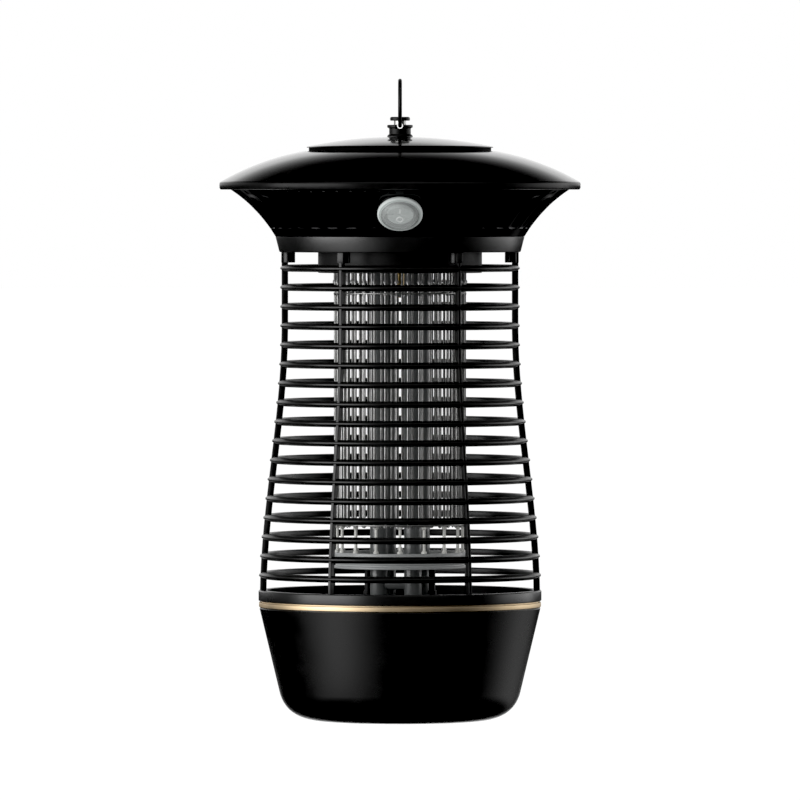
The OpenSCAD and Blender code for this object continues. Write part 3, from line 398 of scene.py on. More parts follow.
def rounded(points: Sequence[Point2], radius: float, steps: int = 3, closed: bool = True) -> list[Point2]:
    """Rounds the sharp corners of an outline.

    Args:
        points: The outline's corners as radius and height.
        radius: Radius of the rounding, made smaller where an edge is short.
        steps: Stretches in each rounding.
        closed: Whether the outline returns to its first point.

    Returns:
        The rounded outline.
    """
    result: list[Point2] = []
    count = len(points)
    for i, point in enumerate(points):
        here = Vector(point)
        if not closed and i in (0, count - 1):
            result.append(point)
            continue
        before = Vector(points[i - 1]) - here
        after = Vector(points[(i + 1) % count]) - here
        turn = math.pi - before.angle(after, math.pi)
        if turn < math.radians(22):
            result.append(point)
            continue
        cut = min(radius * math.tan(turn / 2), before.length * 0.45, after.length * 0.45)
        start = here + before.normalized() * cut
        end = here + after.normalized() * cut
        for k in range(steps + 1):
            t = k / steps
            spot = (1 - t) ** 2 * start + 2 * t * (1 - t) * here + t * t * end
            result.append((spot.x, spot.y))
    return result


def circle(middle: float, height: float, radius: float, steps: int) -> list[Point2]:
    """Outline of a circle round a middle, given as radius and height."""
    turns = [TURN * i / steps for i in range(steps)]
    return [(middle + radius * math.cos(t), height + radius * math.sin(t)) for t in turns]


def oblong(inner: float, outer: float, low: float, high: float) -> list[Point2]:
    """Outline of a rectangle between two radii and two heights."""
    return [(inner, low), (outer, low), (outer, high), (inner, high)]


def polar(radius: float, angle: float, z: float = 0.0) -> Vector:
    """Point at a radius, an angle round Z and a height."""
    return Vector((radius * math.cos(angle), radius * math.sin(angle), z))


def turned(outline: Sequence[Point2], steps: int, closed: bool = False) -> bmesh.types.BMesh:
    """Turns an outline of radius and height once round Z.

    Args:
        outline: The outline's points in metres.
        steps: Number of stretches round the turn.
        closed: Whether the outline is a closed ring, as on a hollow shape.

    Returns:
        The turned shape; its normals may still disagree.
    """
    part = bmesh.new()
    verts = [part.verts.new((max(r, 0.0), 0.0, z)) for r, z in outline]
    for a, b in zip(verts, verts[1:] + (verts[:1] if closed else [])):
        part.edges.new((a, b))
    bmesh.ops.spin(
        part, geom=part.verts[:] + part.edges[:], cent=(0, 0, 0), axis=(0, 0, 1), angle=TURN, steps=steps,
        use_merge=True,
    )
    bmesh.ops.remove_doubles(part, verts=part.verts[:], dist=MERGE)
    return part


def extruded(part: bmesh.types.BMesh, way: Sequence[float]) -> None:
    """Thickens a flat shape by drawing all its faces out along a vector."""
    raised = bmesh.ops.extrude_face_region(part, geom=part.faces[:])
    moved = [v for v in raised["geom"] if isinstance(v, bmesh.types.BMVert)]
    bmesh.ops.translate(part, vec=way, verts=moved)
    bmesh.ops.recalc_face_normals(part, faces=part.faces[:])


def soften(part: bmesh.types.BMesh, width: float, beyond: float = 0.0) -> None:
    """Bevels the edges that turn by more than an angle.

    Args:
        part: The shape to bevel.
        width: Width of the bevel on each side of an edge.
        beyond: The angle in degrees.
    """
    least = math.radians(beyond)
    sharp = [e for e in part.edges if len(e.link_faces) == 2 and e.calc_face_angle() > least]
    bmesh.ops.bevel(
        part, geom=sharp, offset=width, offset_type="OFFSET", segments=2, profile=0.5, affect="EDGES",
        material=-1,
    )


class Shape:
    """A bmesh that shapes are added to and that becomes one finished piece."""

    def __init__(self) -> None:
        """Starts with an empty mesh."""
        self.bm = bmesh.new()

    def spin(
        self, outline: Sequence[Point2], steps: int, closed: bool = True, place: Matrix | None = None
    ) -> None:
        """Adds an outline of radius and height turned once round Z.

        Args:
            outline: The outline's points in metres.
            steps: Number of stretches round the turn.
            closed: Whether the outline is a closed ring, as on a hollow shape.
            place: Where the turned shape goes; the origin if left out.
        """
        part = turned(outline, steps, closed)
        bmesh.ops.recalc_face_normals(part, faces=part.faces[:])
        self.take(part, place)

    def rod(self, start: Vector, end: Vector, radius: float, sides: int) -> None:
        """Adds a round rod between two points.

        Args:
            start: Middle of its first end.
            end: Middle of its other end.
            radius: The rod's radius.
            sides: Number of flat sides that make it round.
        """
        part = bmesh.new()
        bmesh.ops.create_cone(
            part, cap_ends=True, segments=sides, radius1=radius, radius2=radius, depth=(end - start).length
        )
        turn = (end - start).to_track_quat("Z", "Y").to_matrix().to_4x4()
        self.take(part, Matrix.Translation((start + end) / 2) @ turn)

    def column(self, spot: Vector, low: float, high: float, radius: float, sides: int) -> None:
        """Adds an upright round rod.

        Args:
            spot: Its place in X and Y.
            low: Height of its foot.
            high: Height of its top.
            radius: The rod's radius.
            sides: Number of flat sides that make it round.
        """
        self.rod(spot + Vector((0, 0, low)), spot + Vector((0, 0, high)), radius, sides)

    def block(self, size: Sequence[float], place: Matrix, bevel: float) -> None:
        """Adds a box with rounded edges.

        Args:
            size: Its length along X, Y and Z.
            place: Where its middle goes.
            bevel: Width of the rounding.
        """
        part = bmesh.new()
        bmesh.ops.create_cube(part, size=1.0)
        bmesh.ops.scale(part, vec=Vector(size), verts=part.verts[:])
        soften(part, bevel)
        self.take(part, place)

    def sweep(self, path: Sequence[Vector], radius: float, sides: int) -> None:
        """Sweeps a circle along a path, by bridging one ring to the next, and closes both ends.

        Args:
            path: The points of the wire's middle line.
            radius: The wire's radius.
            sides: Number of flat sides that make it round.
        """
        part = bmesh.new()
        rings: list[list[bmesh.types.BMVert]] = []
        for i, point in enumerate(path):
            way = (path[min(i + 1, len(path) - 1)] - path[max(i - 1, 0)]).normalized()
            if i == 0:
                normal = way.orthogonal().normalized()
            normal = (normal - way * normal.dot(way)).normalized()
            turn = Matrix((normal, way.cross(normal), way)).transposed().to_4x4()
            made = bmesh.ops.create_circle(
                part, cap_ends=False, segments=sides, radius=radius, matrix=Matrix.Translation(point) @ turn
            )
            rings.append(made["verts"])
        for pair in zip(rings, rings[1:]):
            edges = [e for e in part.edges if any(e.verts[0] in ring and e.verts[1] in ring for ring in pair)]
            bmesh.ops.bridge_loops(part, edges=edges)
        for ring in (rings[0], rings[-1]):
            bmesh.ops.contextual_create(part, geom=ring)
        bmesh.ops.recalc_face_normals(part, faces=part.faces[:])
        self.take(part)

    def take(self, part: bmesh.types.BMesh, place: Matrix | None = None) -> None:
        """Moves another bmesh's geometry into this one.

        Args:
            part: The bmesh to take; it is freed.
            place: The transform it gets first.
        """
        if place is not None:
            bmesh.ops.transform(part, matrix=place, verts=part.verts[:])
        mesh = bpy.data.meshes.new("part")
        part.to_mesh(mesh)
        part.free()
        self.bm.from_mesh(mesh)
        bpy.data.meshes.remove(mesh)

    def repeat(self, count: int, turn: float = 0.0) -> None:
        """Copies everything made so far round Z.

        Args:
            count: How many there are in all.
            turn: Angle of the first one.
        """
        mesh = bpy.data.meshes.new("part")
        self.bm.to_mesh(mesh)
        self.bm.clear()
        for i in range(count):
            known = len(self.bm.verts)
            self.bm.from_mesh(mesh)
            self.bm.verts.ensure_lookup_table()
            swing = Matrix.Rotation(turn + TURN * i / count, 3, "Z")
            bmesh.ops.rotate(self.bm, cent=(0, 0, 0), matrix=swing, verts=self.bm.verts[known:])
        bpy.data.meshes.remove(mesh)

    def place(self, matrix: Matrix) -> None:
        """Moves everything made so far by a transform."""
        bmesh.ops.transform(self.bm, matrix=matrix, verts=self.bm.verts[:])

    def paint(self, choose: Callable[[bmesh.types.BMFace], int]) -> None:
        """Gives every face the material number that choose returns for it.

        Args:
            choose: Takes a face and returns its finish's place in the piece's list.
        """
        for face in self.bm.faces:
            face.material_index = choose(face)

    def finish(self, name: str, finishes: Sequence[Finish], sharp: float = 38.0) -> bpy.types.Object:
        """Turns the shape into an object with its finishes.

        Args:
            name: The object's name.
            finishes: The finishes, in the order of the face material numbers.
            sharp: Edges that turn by more than this many degrees stay crisp.

        Returns:
            The object, linked to the scene.
        """
        mesh = bpy.data.meshes.new(name)
        self.bm.to_mesh(mesh)
        self.bm.free()
        mesh.shade_smooth()
        mesh.set_sharp_from_angle(angle=math.radians(sharp))
        for finish in finishes:
            mesh.materials.append(finish.material())
        piece = bpy.data.objects.new(name, mesh)
        bpy.context.scene.collection.objects.link(piece)
        return piece


def publish(piece: bpy.types.Object, body: str, slot: str, *nodes: str) -> bpy.types.Object:
    """Attaches a piece to its body, hides the CAD nodes that it replaces and logs it.

    Args:
        piece: The finished piece.
        body: The CAD body that it moves with.
        slot: The record's material slot; not used.
        *nodes: CAD nodes that it replaces.

    Returns:
        The piece.
    """
    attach(piece, body)
    if nodes:
        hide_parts(*nodes)
    LOG.info("%s: %d faces on %s", piece.name, len(piece.data.polygons), body)
    return piece


def spans(node: str) -> tuple[float, float, float]:
    """Outer radius, foot and top of a round CAD node, in metres."""
    low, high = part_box(node)
    return max(high.x, -low.x), low.z, high.z


# ---------------------------------------------------------------- shared places

HOUSING = "housing"
JOINTS = {joint["name"]: joint for joint in frame["joints"]}
ROCKER_PIVOT = Vector(JOINTS["rocker_tilt"]["pos_m"])
INLET = next(m for m in frame["record"]["mounts"] if m["name"] == "cord_inlet")
SEAT_OUT = Vector((0.0, -INLET["axis"][1], INLET["axis"][2]))
SEAT_TILT = math.atan2(-SEAT_OUT.z, -SEAT_OUT.y)
PAD_FACE = 1.4 * MM
PAD_ROOT = -3.4 * MM
HINGE_UP = 1.0 * MM
SEAT = ROCKER_PIVOT - SEAT_OUT * HINGE_UP
SEAT_PLACE = Matrix.Translation(SEAT) @ Matrix.Rotation(math.radians(90) + SEAT_TILT, 4, "X")
REAR_PLACE = Matrix.Rotation(math.pi, 4, "Z") @ SEAT_PLACE
RIM_FLANGE = 2.2 * MM
RIM_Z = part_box("skirt")[1].z - RIM_FLANGE
TUBE_CIRCLE = 16.4 * MM
TUBE_TURNS = [math.radians(31.6) + TURN * i / 4 for i in range(4)]


# ---------------------------------------------------------------- roof and hanger


@dataclass
class Roof:
    """Domed roof with an upright rim, and the cap that floats over it on a shadow groove."""

    rim_height: float = 5.6 * MM
    rim_heel: float = 1.3 * MM
    rim_shoulder: float = 2.2 * MM
    shoulder_drop: float = 2 * MM
    satin_drop: float = 0.8 * MM
    wall: float = 2.6 * MM
    curve: float = 172.7 * MM
    crown_margin: float = 1.5 * MM
    cap_curve: float = 285 * MM
    cap_edge: float = 0.7 * MM
    cap_groove: float = 2.3 * MM
    groove_depth: float = 1.4 * MM
    cap_wall: float = 2.2 * MM
    stud_hole: float = 4.3 * MM
    stud_seat: float = 8.5 * MM

    def build(self) -> None:
        """Builds the shell and the cap."""
        radius, _, crown_z = spans("roof_shell")
        cap_r, _, cap_z = spans("top_cap")
        self._shell(radius, cap_r + self.crown_margin, crown_z)
        self._cap(cap_r, crown_z, cap_z)

    def _shell(self, radius: float, crown_r: float, crown_z: float) -> None:
        """Turns the shell's section, with a gloss dome over a satin rim.

        Args:
            radius: Radius of the rim.
            crown_r: Radius of the flat crown under the cap.
            crown_z: Height of the crown.
        """
        start = (crown_r, crown_z)
        edge = (radius - self.rim_heel, RIM_Z + self.rim_height)
        lip = radius - self.wall
        outer = arc_points(start, edge, self.curve, -1, 28)
        shoulder = arc_points(edge, (radius, edge[1] - self.shoulder_drop), self.rim_shoulder, -1, 6)[1:]
        inner = arc_points(start, edge, self.curve, -1, 14, -self.wall)
        heel = [(radius, RIM_Z + self.rim_heel), (radius - 0.5 * MM, RIM_Z + 0.25 * MM)]
        heel += [(radius - self.rim_heel, RIM_Z)]
        section = [(0.0, crown_z), (crown_r * 0.5, crown_z)] + outer + shoulder + heel
        section += [(lip, RIM_Z), (lip, RIM_Z + self.rim_height - self.wall)]
        section += [p for p in reversed(inner) if p[0] < lip] + [(0.0, crown_z - self.wall)]
        shape = Shape()
        shape.spin(section, steps=224, closed=False)
        satin_z = edge[1] - self.satin_drop
        shape.paint(lambda f: 1 if f.calc_center_median().z < satin_z else 0)
        publish(shape.finish("roof_dome", (ROOF_GLOSS, RIM_SATIN)), HOUSING, "roof_gloss", "roof_shell")

    def _cap(self, cap_r: float, crown_z: float, cap_z: float) -> None:
        """Turns the cap's section; its groove and underside get a darker, dull finish as painted shade.

        Args:
            cap_r: Radius of the cap.
            crown_z: Height of the roof's crown, which it stands on.
            cap_z: Height of its top.
        """
        edge_z = crown_z + self.cap_groove
        neck = cap_r - self.groove_depth
        dome = arc_points((0.0, cap_z), (cap_r - 0.5 * MM, edge_z + self.cap_edge), self.cap_curve, -1, 24)
        top = [p for p in dome if p[0] > self.stud_seat - 0.5 * MM]
        inner = neck - self.cap_wall
        under = [(r, z - self.cap_wall) for r, z in reversed(top) if self.stud_seat + 1.5 * MM < r < inner]
        section = [(self.stud_hole, top[0][1] + 0.1 * MM)] + top
        section += [(cap_r, edge_z + self.cap_edge / 2), (cap_r - 0.15 * MM, edge_z)]
        section += [(neck, edge_z), (neck, crown_z), (inner, crown_z), (inner, edge_z - 0.6 * MM)] + under
        section += [(self.stud_seat, crown_z), (self.stud_hole, crown_z)]
        shape = Shape()
        shape.spin(section, steps=192)
        # Faces below the cap's edge take the painted-shade finish.
        shape.paint(lambda f: 1 if f.calc_center_median().z < edge_z - 0.1 * MM else 0)
        publish(shape.finish("roof_cap", (ROOF_GLOSS, GROOVE_PAINTED_SHADE)), HOUSING, "roof_gloss", "top_cap")


@dataclass
class Hanger:
    """The wire ring that the zapper hangs from; its boss keeps the frame's own mesh."""

    wire: float = 2.6 * MM

    def build(self) -> None:
        """Builds the ring in its upright rest position."""
        low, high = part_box("hanging_ring")
        radius = (high.z - low.z - self.wire) / 2
        shape = Shape()
        shape.spin(circle(radius, 0.0, self.wire / 2, 20), steps=96)
        upright = Matrix.Rotation(math.pi / 2, 4, "Y")
        shape.place(Matrix.Translation((0, 0, (low.z + high.z) / 2)) @ upright)
        publish(shape.finish("hanging_loop", (RING_STEEL,)), "ring", "steel", "hanging_ring")


# ---------------------------------------------------------------- skirt and collar


@dataclass
class Skirt:
    """Flared skirt with a row of vents under the rim and long shallow flutes round its wall."""

    curve: float = 96.8 * MM
    wall: float = 2.6 * MM
    overhang: float = 7.5 * MM
    flange_in: float = 5.5 * MM
    flange_out: float = 3.1 * MM
    vents: int = 72
    vent_foot: float = 4.6 * MM
    vent_top: float = 2.8 * MM
    vent_height: float = 2.2 * MM
    vent_gap: float = 0.5 * MM
    flutes: int = 40
    flute_depth: float = 0.8 * MM
    flute_low: float = 5.2 * MM
    flute_high: float = 4.2 * MM
    flute_half: float = 3.6
    flute_end: float = 1.5 * MM
    flute_fade: float = 2 * MM
    columns: int = 360
    lining_in: float = 5 * MM
    lining_h: float = 1.6 * MM
    lining_t: float = 0.8 * MM
    posts: int = 6
    post_d: float = 8 * MM
    post_circle: float = 74 * MM
    post_h: float = 14 * MM
    deck_t: float = 3 * MM
    switch_pad: float = 15.7 * MM
    gland_pad: float = 10.8 * MM

    def build(self) -> None:
        """Builds the wall with its vents and flutes, its flange, its pads and its posts."""
        roof_r = spans("roof_shell")[0]
        top_r = roof_r - self.overhang
        shape = Shape()
        shape.take(self._wall(top_r))
        flange = oblong(top_r - self.flange_in, roof_r - self.flange_out, RIM_Z, RIM_Z + RIM_FLANGE)
        shape.spin(rounded(flange, 0.4 * MM), steps=192)
        known = set(shape.bm.faces)
        lining_r = top_r - self.lining_in
        shape.spin(oblong(lining_r, lining_r + self.lining_t, RIM_Z - self.lining_h, RIM_Z), steps=192)
        shape.paint(lambda f: 0 if f in known else 1)
        deck_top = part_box("deck")[0].z + self.deck_t
        for i in range(self.posts):
            spot = polar(self.post_circle, TURN * i / self.posts)
            shape.column(spot, deck_top, deck_top + self.post_h, self.post_d / 2, 24)
        self._pads(shape)
        piece = shape.finish("flared_skirt", (SKIRT_GLOSS, VENT_LINING), sharp=30)
        publish(piece, HOUSING, "roof_gloss", "skirt")

    def _levels(self, foot_z: float) -> list[float]:
        """Heights of the wall's rows of vertices: close together where the flutes and vents end."""
        rows = [foot_z, foot_z + 2 * MM, foot_z + 4 * MM]
        rows += [self.low_end + i * 0.25 * MM for i in range(8)]
        reach = self.high_end - self.low_end - 4.4 * MM
        rows += [self.low_end + 2.4 * MM + reach * i / 8 for i in range(9)]
        rows += [self.high_end - 1.5 * MM, self.high_end - 0.6 * MM, self.high_end]
        return sorted(set(round(z, 6) for z in rows + [self.vent_low, self.vent_high, RIM_Z]))

    def _wall(self, top_r: float) -> bmesh.types.BMesh:
        """Spins the wall's outer line, cuts the vents, presses the flutes and thickens it.

        Args:
            top_r: Radius under the roof.

        Returns:
            The wall as a bmesh.
        """
        foot_r, _, foot_z = spans("collar")
        self.vent_high = RIM_Z - self.vent_gap
        self.vent_low = RIM_Z - self.vent_height - self.vent_gap
        self.low_end = foot_z + self.flute_low
        self.high_end = self.vent_low - self.flute_high + 3 * MM
        line = arc_points((foot_r, foot_z), (top_r, RIM_Z), self.curve, -1, 200)
        outline = [(min(line, key=lambda p: abs(p[1] - z))[0], z) for z in self._levels(foot_z)]
        bm = turned(outline, self.columns)
        per_vent = self.columns // self.vents
        holes = []
        for face in bm.faces:
            middle = face.calc_center_median()
            column = math.floor((math.degrees(math.atan2(middle.y, middle.x)) % 360) * self.columns / 360)
            if self.vent_low < middle.z < self.vent_high and column % per_vent in (1, 2, 3):
                holes.append(face)
        bmesh.ops.delete(bm, geom=holes, context="FACES_ONLY")
        for vert in bm.verts:
            self._shape_vert(vert, per_vent)
        bmesh.ops.recalc_face_normals(bm, faces=bm.faces[:])
        if sum(f.normal.xy.dot(f.calc_center_median().xy) for f in bm.faces) < 0:
            bmesh.ops.reverse_faces(bm, faces=bm.faces[:])
        bmesh.ops.solidify(bm, geom=bm.faces[:], thickness=self.wall)
        bmesh.ops.recalc_face_normals(bm, faces=bm.faces[:])
        return bm

    def _shape_vert(self, vert: bmesh.types.BMVert, per_vent: int) -> None:
        """Draws one vertex of the wall to a vent's edge, or inwards where a flute runs.

        Args:
            vert: The vertex.
            per_vent: Number of the wall's columns for each vent.
        """
        near = 0.01 * MM
        radius = math.hypot(vert.co.x, vert.co.y)
        angle = math.degrees(math.atan2(vert.co.y, vert.co.x))
        z = vert.co.z
        step = 360 / self.columns
        at_foot = abs(z - self.vent_low) < near
        if at_foot or abs(z - self.vent_high) < near:
            half = (self.vent_foot if at_foot else self.vent_top) / 2
            pitch = step * per_vent
            centre = (math.floor(angle / pitch) + 0.5) * pitch
            away = angle - centre
            if abs(away) < 2 * step:
                angle = centre + away / (1.5 * step) * math.degrees(half / radius)
        pitch = 360 / self.flutes
        across = (angle - 0.5 * step) / pitch
        u = (across - math.floor(across) - 0.5) * pitch / self.flute_half
        ends = max(0.0, (self.low_end + self.flute_end - z) / self.flute_end) ** 2
        ends += max(0.0, (z - self.high_end + self.flute_fade) / self.flute_fade) ** 2
        radius -= self.flute_depth * max(0.0, 1.0 - u * u - ends)
        vert.co.x = radius * math.cos(math.radians(angle))
        vert.co.y = radius * math.sin(math.radians(angle))

    def _pads(self, shape: Shape) -> None:
        """Adds the flat pads that the switch and the gland sit on."""
        for place, radius in ((SEAT_PLACE, self.switch_pad), (REAR_PLACE, self.gland_pad)):
            outline = rounded(oblong(0, radius, PAD_ROOT, PAD_FACE), 0.4 * MM, closed=False)
            shape.spin(outline, steps=96, closed=False, place=place)


@dataclass
class Collar:
    """Satin collar between the cage and the skirt."""

    step: float = 2.5 * MM
    inner_ring: float = 70.5 * MM
    bore: float = 78.4 * MM
    flange_h: float = 2.7 * MM
    foot_edge: float = 0.5 * MM

    def build(self) -> None:
        """Turns the collar's section."""
        top_r, foot_z, top_z = spans("collar")
        foot_r = top_r - self.step
        flange_z = foot_z + self.flange_h
        section = [
            (self.inner_ring, foot_z), (foot_r - self.foot_edge, foot_z), (foot_r, foot_z + self.foot_edge),
            (top_r, top_z), (self.bore, top_z), (self.bore, flange_z), (self.inner_ring, flange_z),
        ]
        shape = Shape()
        shape.spin(rounded(section, 0.45 * MM), steps=192)
        publish(shape.finish("satin_collar", (COLLAR_SATIN,)), HOUSING, "collar_satin", "collar")


# ---------------------------------------------------------------- switch and gland


@dataclass
class Switch:
    """Rocker switch with I and O marks under a translucent silicone boot."""

    boot_d: float = 29.8 * MM
    flange_h: float = 1.6 * MM
    bezel_d: float = 24 * MM
    bezel_h: float = 2 * MM
    barrel_d: float = 21.2 * MM
    barrel_l: float = 18 * MM
    rocker_r: float = 9 * MM
    rocker_cut: float = 5 * MM
    rocker_top: float = 1.8 * MM
    rocker_rise: float = 1.4 * MM
    rocker_tilt: float = math.radians(8)
    pin_d: float = 2.4 * MM
    pin_reach: float = 10.3 * MM
    mark_out: float = 4.3 * MM
    mark_line: float = 1.0 * MM
    bar_size: tuple[float, float] = (1.1 * MM, 4.4 * MM)
    ring_r: float = 2.0 * MM
    face_up: float = 6.8 * MM
    skin: float = 0.8 * MM

    def build(self) -> None:
        """Builds the body, the rocker with its marks, and the boot."""
        self._body()
        self._rocker()
        self._boot()

    def _body(self) -> None:
        """Barrel and bezel with the round hollow that the rocker sits in."""
        bezel = PAD_FACE + self.bezel_h
        hollow_z = HINGE_UP - self.rocker_r - 0.6 * MM
        hollow_r = self.rocker_r + 0.4 * MM
        section = [
            (0, -self.barrel_l), (self.barrel_d / 2, -self.barrel_l), (self.barrel_d / 2, PAD_FACE),
            (self.bezel_d / 2, PAD_FACE), (self.bezel_d / 2, bezel), (hollow_r, bezel), (hollow_r, hollow_z),
            (0, hollow_z),
        ]
        shape = Shape()
        shape.spin(rounded(section, 0.5 * MM, closed=False), steps=96, closed=False)
        shape.place(SEAT_PLACE)
        publish(shape.finish("switch_barrel", (INNER_BLACK,)), HOUSING, "inner_black", "switch_body")

    @staticmethod
    def _cut(bm: bmesh.types.BMesh, spot: Vector, way: Vector, fill: bool) -> None:
        """Cuts off what lies beyond a plane.

        Args:
            bm: The shape to cut.
            spot: A point on the plane.
            way: The plane's direction, towards what is cut off.
            fill: Whether the cut is closed with a face, also where it ends at the mirror plane.
        """
        geom = bm.verts[:] + bm.edges[:] + bm.faces[:]
        cut = bmesh.ops.bisect_plane(bm, geom=geom, plane_co=spot, plane_no=way, clear_outer=True)
        if not fill:
            return
        edges = [e for e in cut["geom_cut"] if isinstance(e, bmesh.types.BMEdge)]
        loose = tuple({v for e in edges for v in e.verts if abs(v.co.y) < MERGE})
        if len(loose) == 2:
            edges.append(bm.edges.get(loose) or bm.edges.new(loose))
        bmesh.ops.contextual_create(bm, geom=edges)

    def _rocker(self) -> None:
        """Half of the rocker cut from a ball and mirrored, its pin and its two raised marks."""
        bm = bmesh.new()
        bmesh.ops.create_uvsphere(bm, u_segments=48, v_segments=24, radius=self.rocker_r)
        rise = Vector((0, self.rocker_r, self.rocker_rise)).normalized()
        self._cut(bm, Vector((0, 0, 0)), Vector((0, -1, 0)), False)
        self._cut(bm, Vector((0, 0, -self.rocker_cut)), Vector((0, 0, -1)), True)
        self._cut(bm, Vector((0, 0, self.rocker_top)), Vector((0, -rise.z, rise.y)), True)
        bmesh.ops.mirror(bm, geom=bm.verts[:] + bm.edges[:] + bm.faces[:], axis="Y", merge_dist=MERGE)
        bmesh.ops.recalc_face_normals(bm, faces=bm.faces[:])
        shape = Shape()
        shape.take(bm)
        pin_end = Vector((self.pin_reach, 0, 0))
        shape.rod(-pin_end, pin_end, self.pin_d / 2, 24)
        known = set(shape.bm.faces)
        slope = math.asin(rise.z)
        up = self.rocker_top + self.mark_out * math.tan(slope)
        bar = Matrix.Translation((0, self.mark_out, up)) @ Matrix.Rotation(slope, 4, "X")
        shape.block((*self.bar_size, self.mark_line), bar, 0.2 * MM)
        spot = Matrix.Translation((0, -self.mark_out, up)) @ Matrix.Rotation(-slope, 4, "X")
        shape.spin(circle(self.ring_r, 0.0, self.mark_line / 2, 10), steps=32, place=spot)
        shape.paint(lambda f: 0 if f in known else 1)
        tilt = Matrix.Rotation(self.rocker_tilt, 4, "X")
        shape.place(SEAT_PLACE @ Matrix.Translation((0, 0, HINGE_UP)) @ tilt)
        piece = shape.finish("switch_paddle", (ROCKER_GREY, MARK_WHITE))
        publish(piece, "rocker", "rocker_grey", "switch_rocker")

    def _boot(self) -> None:
        """Thin domed boot with a solid flange round it, its one silicone painted darker round the dome's foot as
        shade and lighter on the flange's edge as a highlight.
        """
        rim, bezel = self.boot_d / 2, self.bezel_d / 2
        face, inside = self.face_up, self.face_up - self.skin
        bezel_z = PAD_FACE + self.bezel_h
        outside = [
            (bezel + 0.1 * MM, PAD_FACE), (rim, PAD_FACE), (rim, PAD_FACE + self.flange_h),
            (rim - 1 * MM, PAD_FACE + 2.4 * MM), (bezel + 0.8 * MM, PAD_FACE + 2.6 * MM),
            (bezel - 0.4 * MM, face - 0.8 * MM), (bezel - 1.2 * MM, face - 0.2 * MM),
            (bezel - 2.2 * MM, face),
        ]
        lining = [
            (0, inside), (bezel - 2.4 * MM, inside), (bezel - 1.2 * MM, inside - 0.8 * MM),
            (bezel - 0.6 * MM, bezel_z), (bezel + 0.1 * MM, bezel_z),
        ]
        section = rounded(lining, 0.3 * MM, closed=False)
        section += rounded(outside, 0.6 * MM, closed=False) + [(0, face)]
        shape = Shape()
        shape.spin(section, steps=96, closed=False)
        # Radii where the boot changes from its face to the painted-shade band, and then to the painted-highlight
        # edge.
        edges = (bezel + 0.3 * MM, rim - 1.2 * MM)
        shape.paint(lambda f: sum(math.hypot(*f.calc_center_median().xy) > edge for edge in edges))
        shape.place(SEAT_PLACE)
        finishes = (SILICONE, BOOT_PAINTED_SHADE_BAND, BOOT_PAINTED_HIGHLIGHT_EDGE)
        publish(shape.finish("switch_cover", finishes, sharp=60), HOUSING, "silicone", "switch_boot")


@dataclass
class Gland:
    """Cord gland on the back of the skirt: body, seal, cap nut and lock nut."""

    across_flats: float = 17 * MM
    sleeve_d: float = 12 * MM
    sleeve_l: float = 11 * MM
    hole_d: float = 6.6 * MM
    flange: float = 3 * MM
    seal_t: float = 1.9 * MM
    cap_l: float = 9 * MM
    nut_h: float = 4 * MM

    def build(self) -> None:
        """Builds the four parts on the rear seat."""
        base = PAD_FACE + self.flange
        hole = self.hole_d / 2
        sleeve = hole + 0.3 * MM
        self._part(
            "gland_sleeve", "gland_body", [(sleeve, self.sleeve_d / 2, -self.sleeve_l, PAD_FACE)],
            [(self.across_flats, sleeve, PAD_FACE, base)],
        )
        seal = (hole, hole + self.seal_t, base, base + self.cap_l - 1.5 * MM)
        self._part("gland_insert", "gland_seal", [seal], [], RUBBER, "seal_rubber")
        cap = self.across_flats - 1 * MM
        bore = hole + 2.1 * MM
        shoulder = (bore, cap / 2 - 0.2 * MM, base + self.cap_l * 0.55, base + self.cap_l * 0.75)
        crown = (hole + 0.5 * MM, cap / 2 - 1.5 * MM, base + self.cap_l * 0.74, base + self.cap_l)
        self._part("gland_dome", "gland_cap", [shoulder, crown], [(cap, bore, base, base + self.cap_l * 0.6)])
        nut = (self.across_flats, self.sleeve_d / 2, PAD_ROOT - self.nut_h, PAD_ROOT)
        self._part("gland_lock_nut", "gland_nut", [], [nut])

    def _part(
        self, name: str, node: str, rings: Sequence[Ends], hexes: Sequence[Ends],
        finish: Finish = INNER_BLACK, slot: str = "inner_black",
    ) -> None:
        """Builds one part from round rings and hexagons.

        Args:
            name: The piece's name.
            node: The CAD node that it stands for.
            rings: Inner radius, outer radius, low and high end of each ring.
            hexes: Width across flats, bore radius, low and high end of each hexagon.
            finish: The finish.
            slot: The record's slot.
        """
        shape = Shape()
        for ring in rings:
            shape.spin(rounded(oblong(*ring), 0.5 * MM), steps=64)
        for hexagon in hexes:
            self._hexagon(shape, *hexagon)
        shape.place(REAR_PLACE)
        publish(shape.finish(name, (finish,)), HOUSING, slot, node)

    @staticmethod
    def _hexagon(shape: Shape, width: float, bore: float, low: float, high: float) -> None:
        """Adds a hexagonal ring with a round bore and softened edges.

        Args:
            shape: The shape that it joins.
            width: Width across flats.
            bore: Radius of the bore.
            low: Height of its foot.
            high: Height of its top.
        """
        bm = bmesh.new()
        corner = width / 2 / math.cos(math.pi / 6)
        level = Matrix.Translation((0, 0, low))
        bmesh.ops.create_circle(bm, segments=6, radius=corner, matrix=level)
        outer = bm.edges[:]
        bmesh.ops.create_circle(bm, segments=48, radius=bore, matrix=level)
        bmesh.ops.subdivide_edges(bm, edges=outer, cuts=7)
        bmesh.ops.bridge_loops(bm, edges=bm.edges[:])
        extruded(bm, (0, 0, high - low))
        soften(bm, 0.3 * MM, beyond=30)
        shape.take(bm)


# ---------------------------------------------------------------- lamp


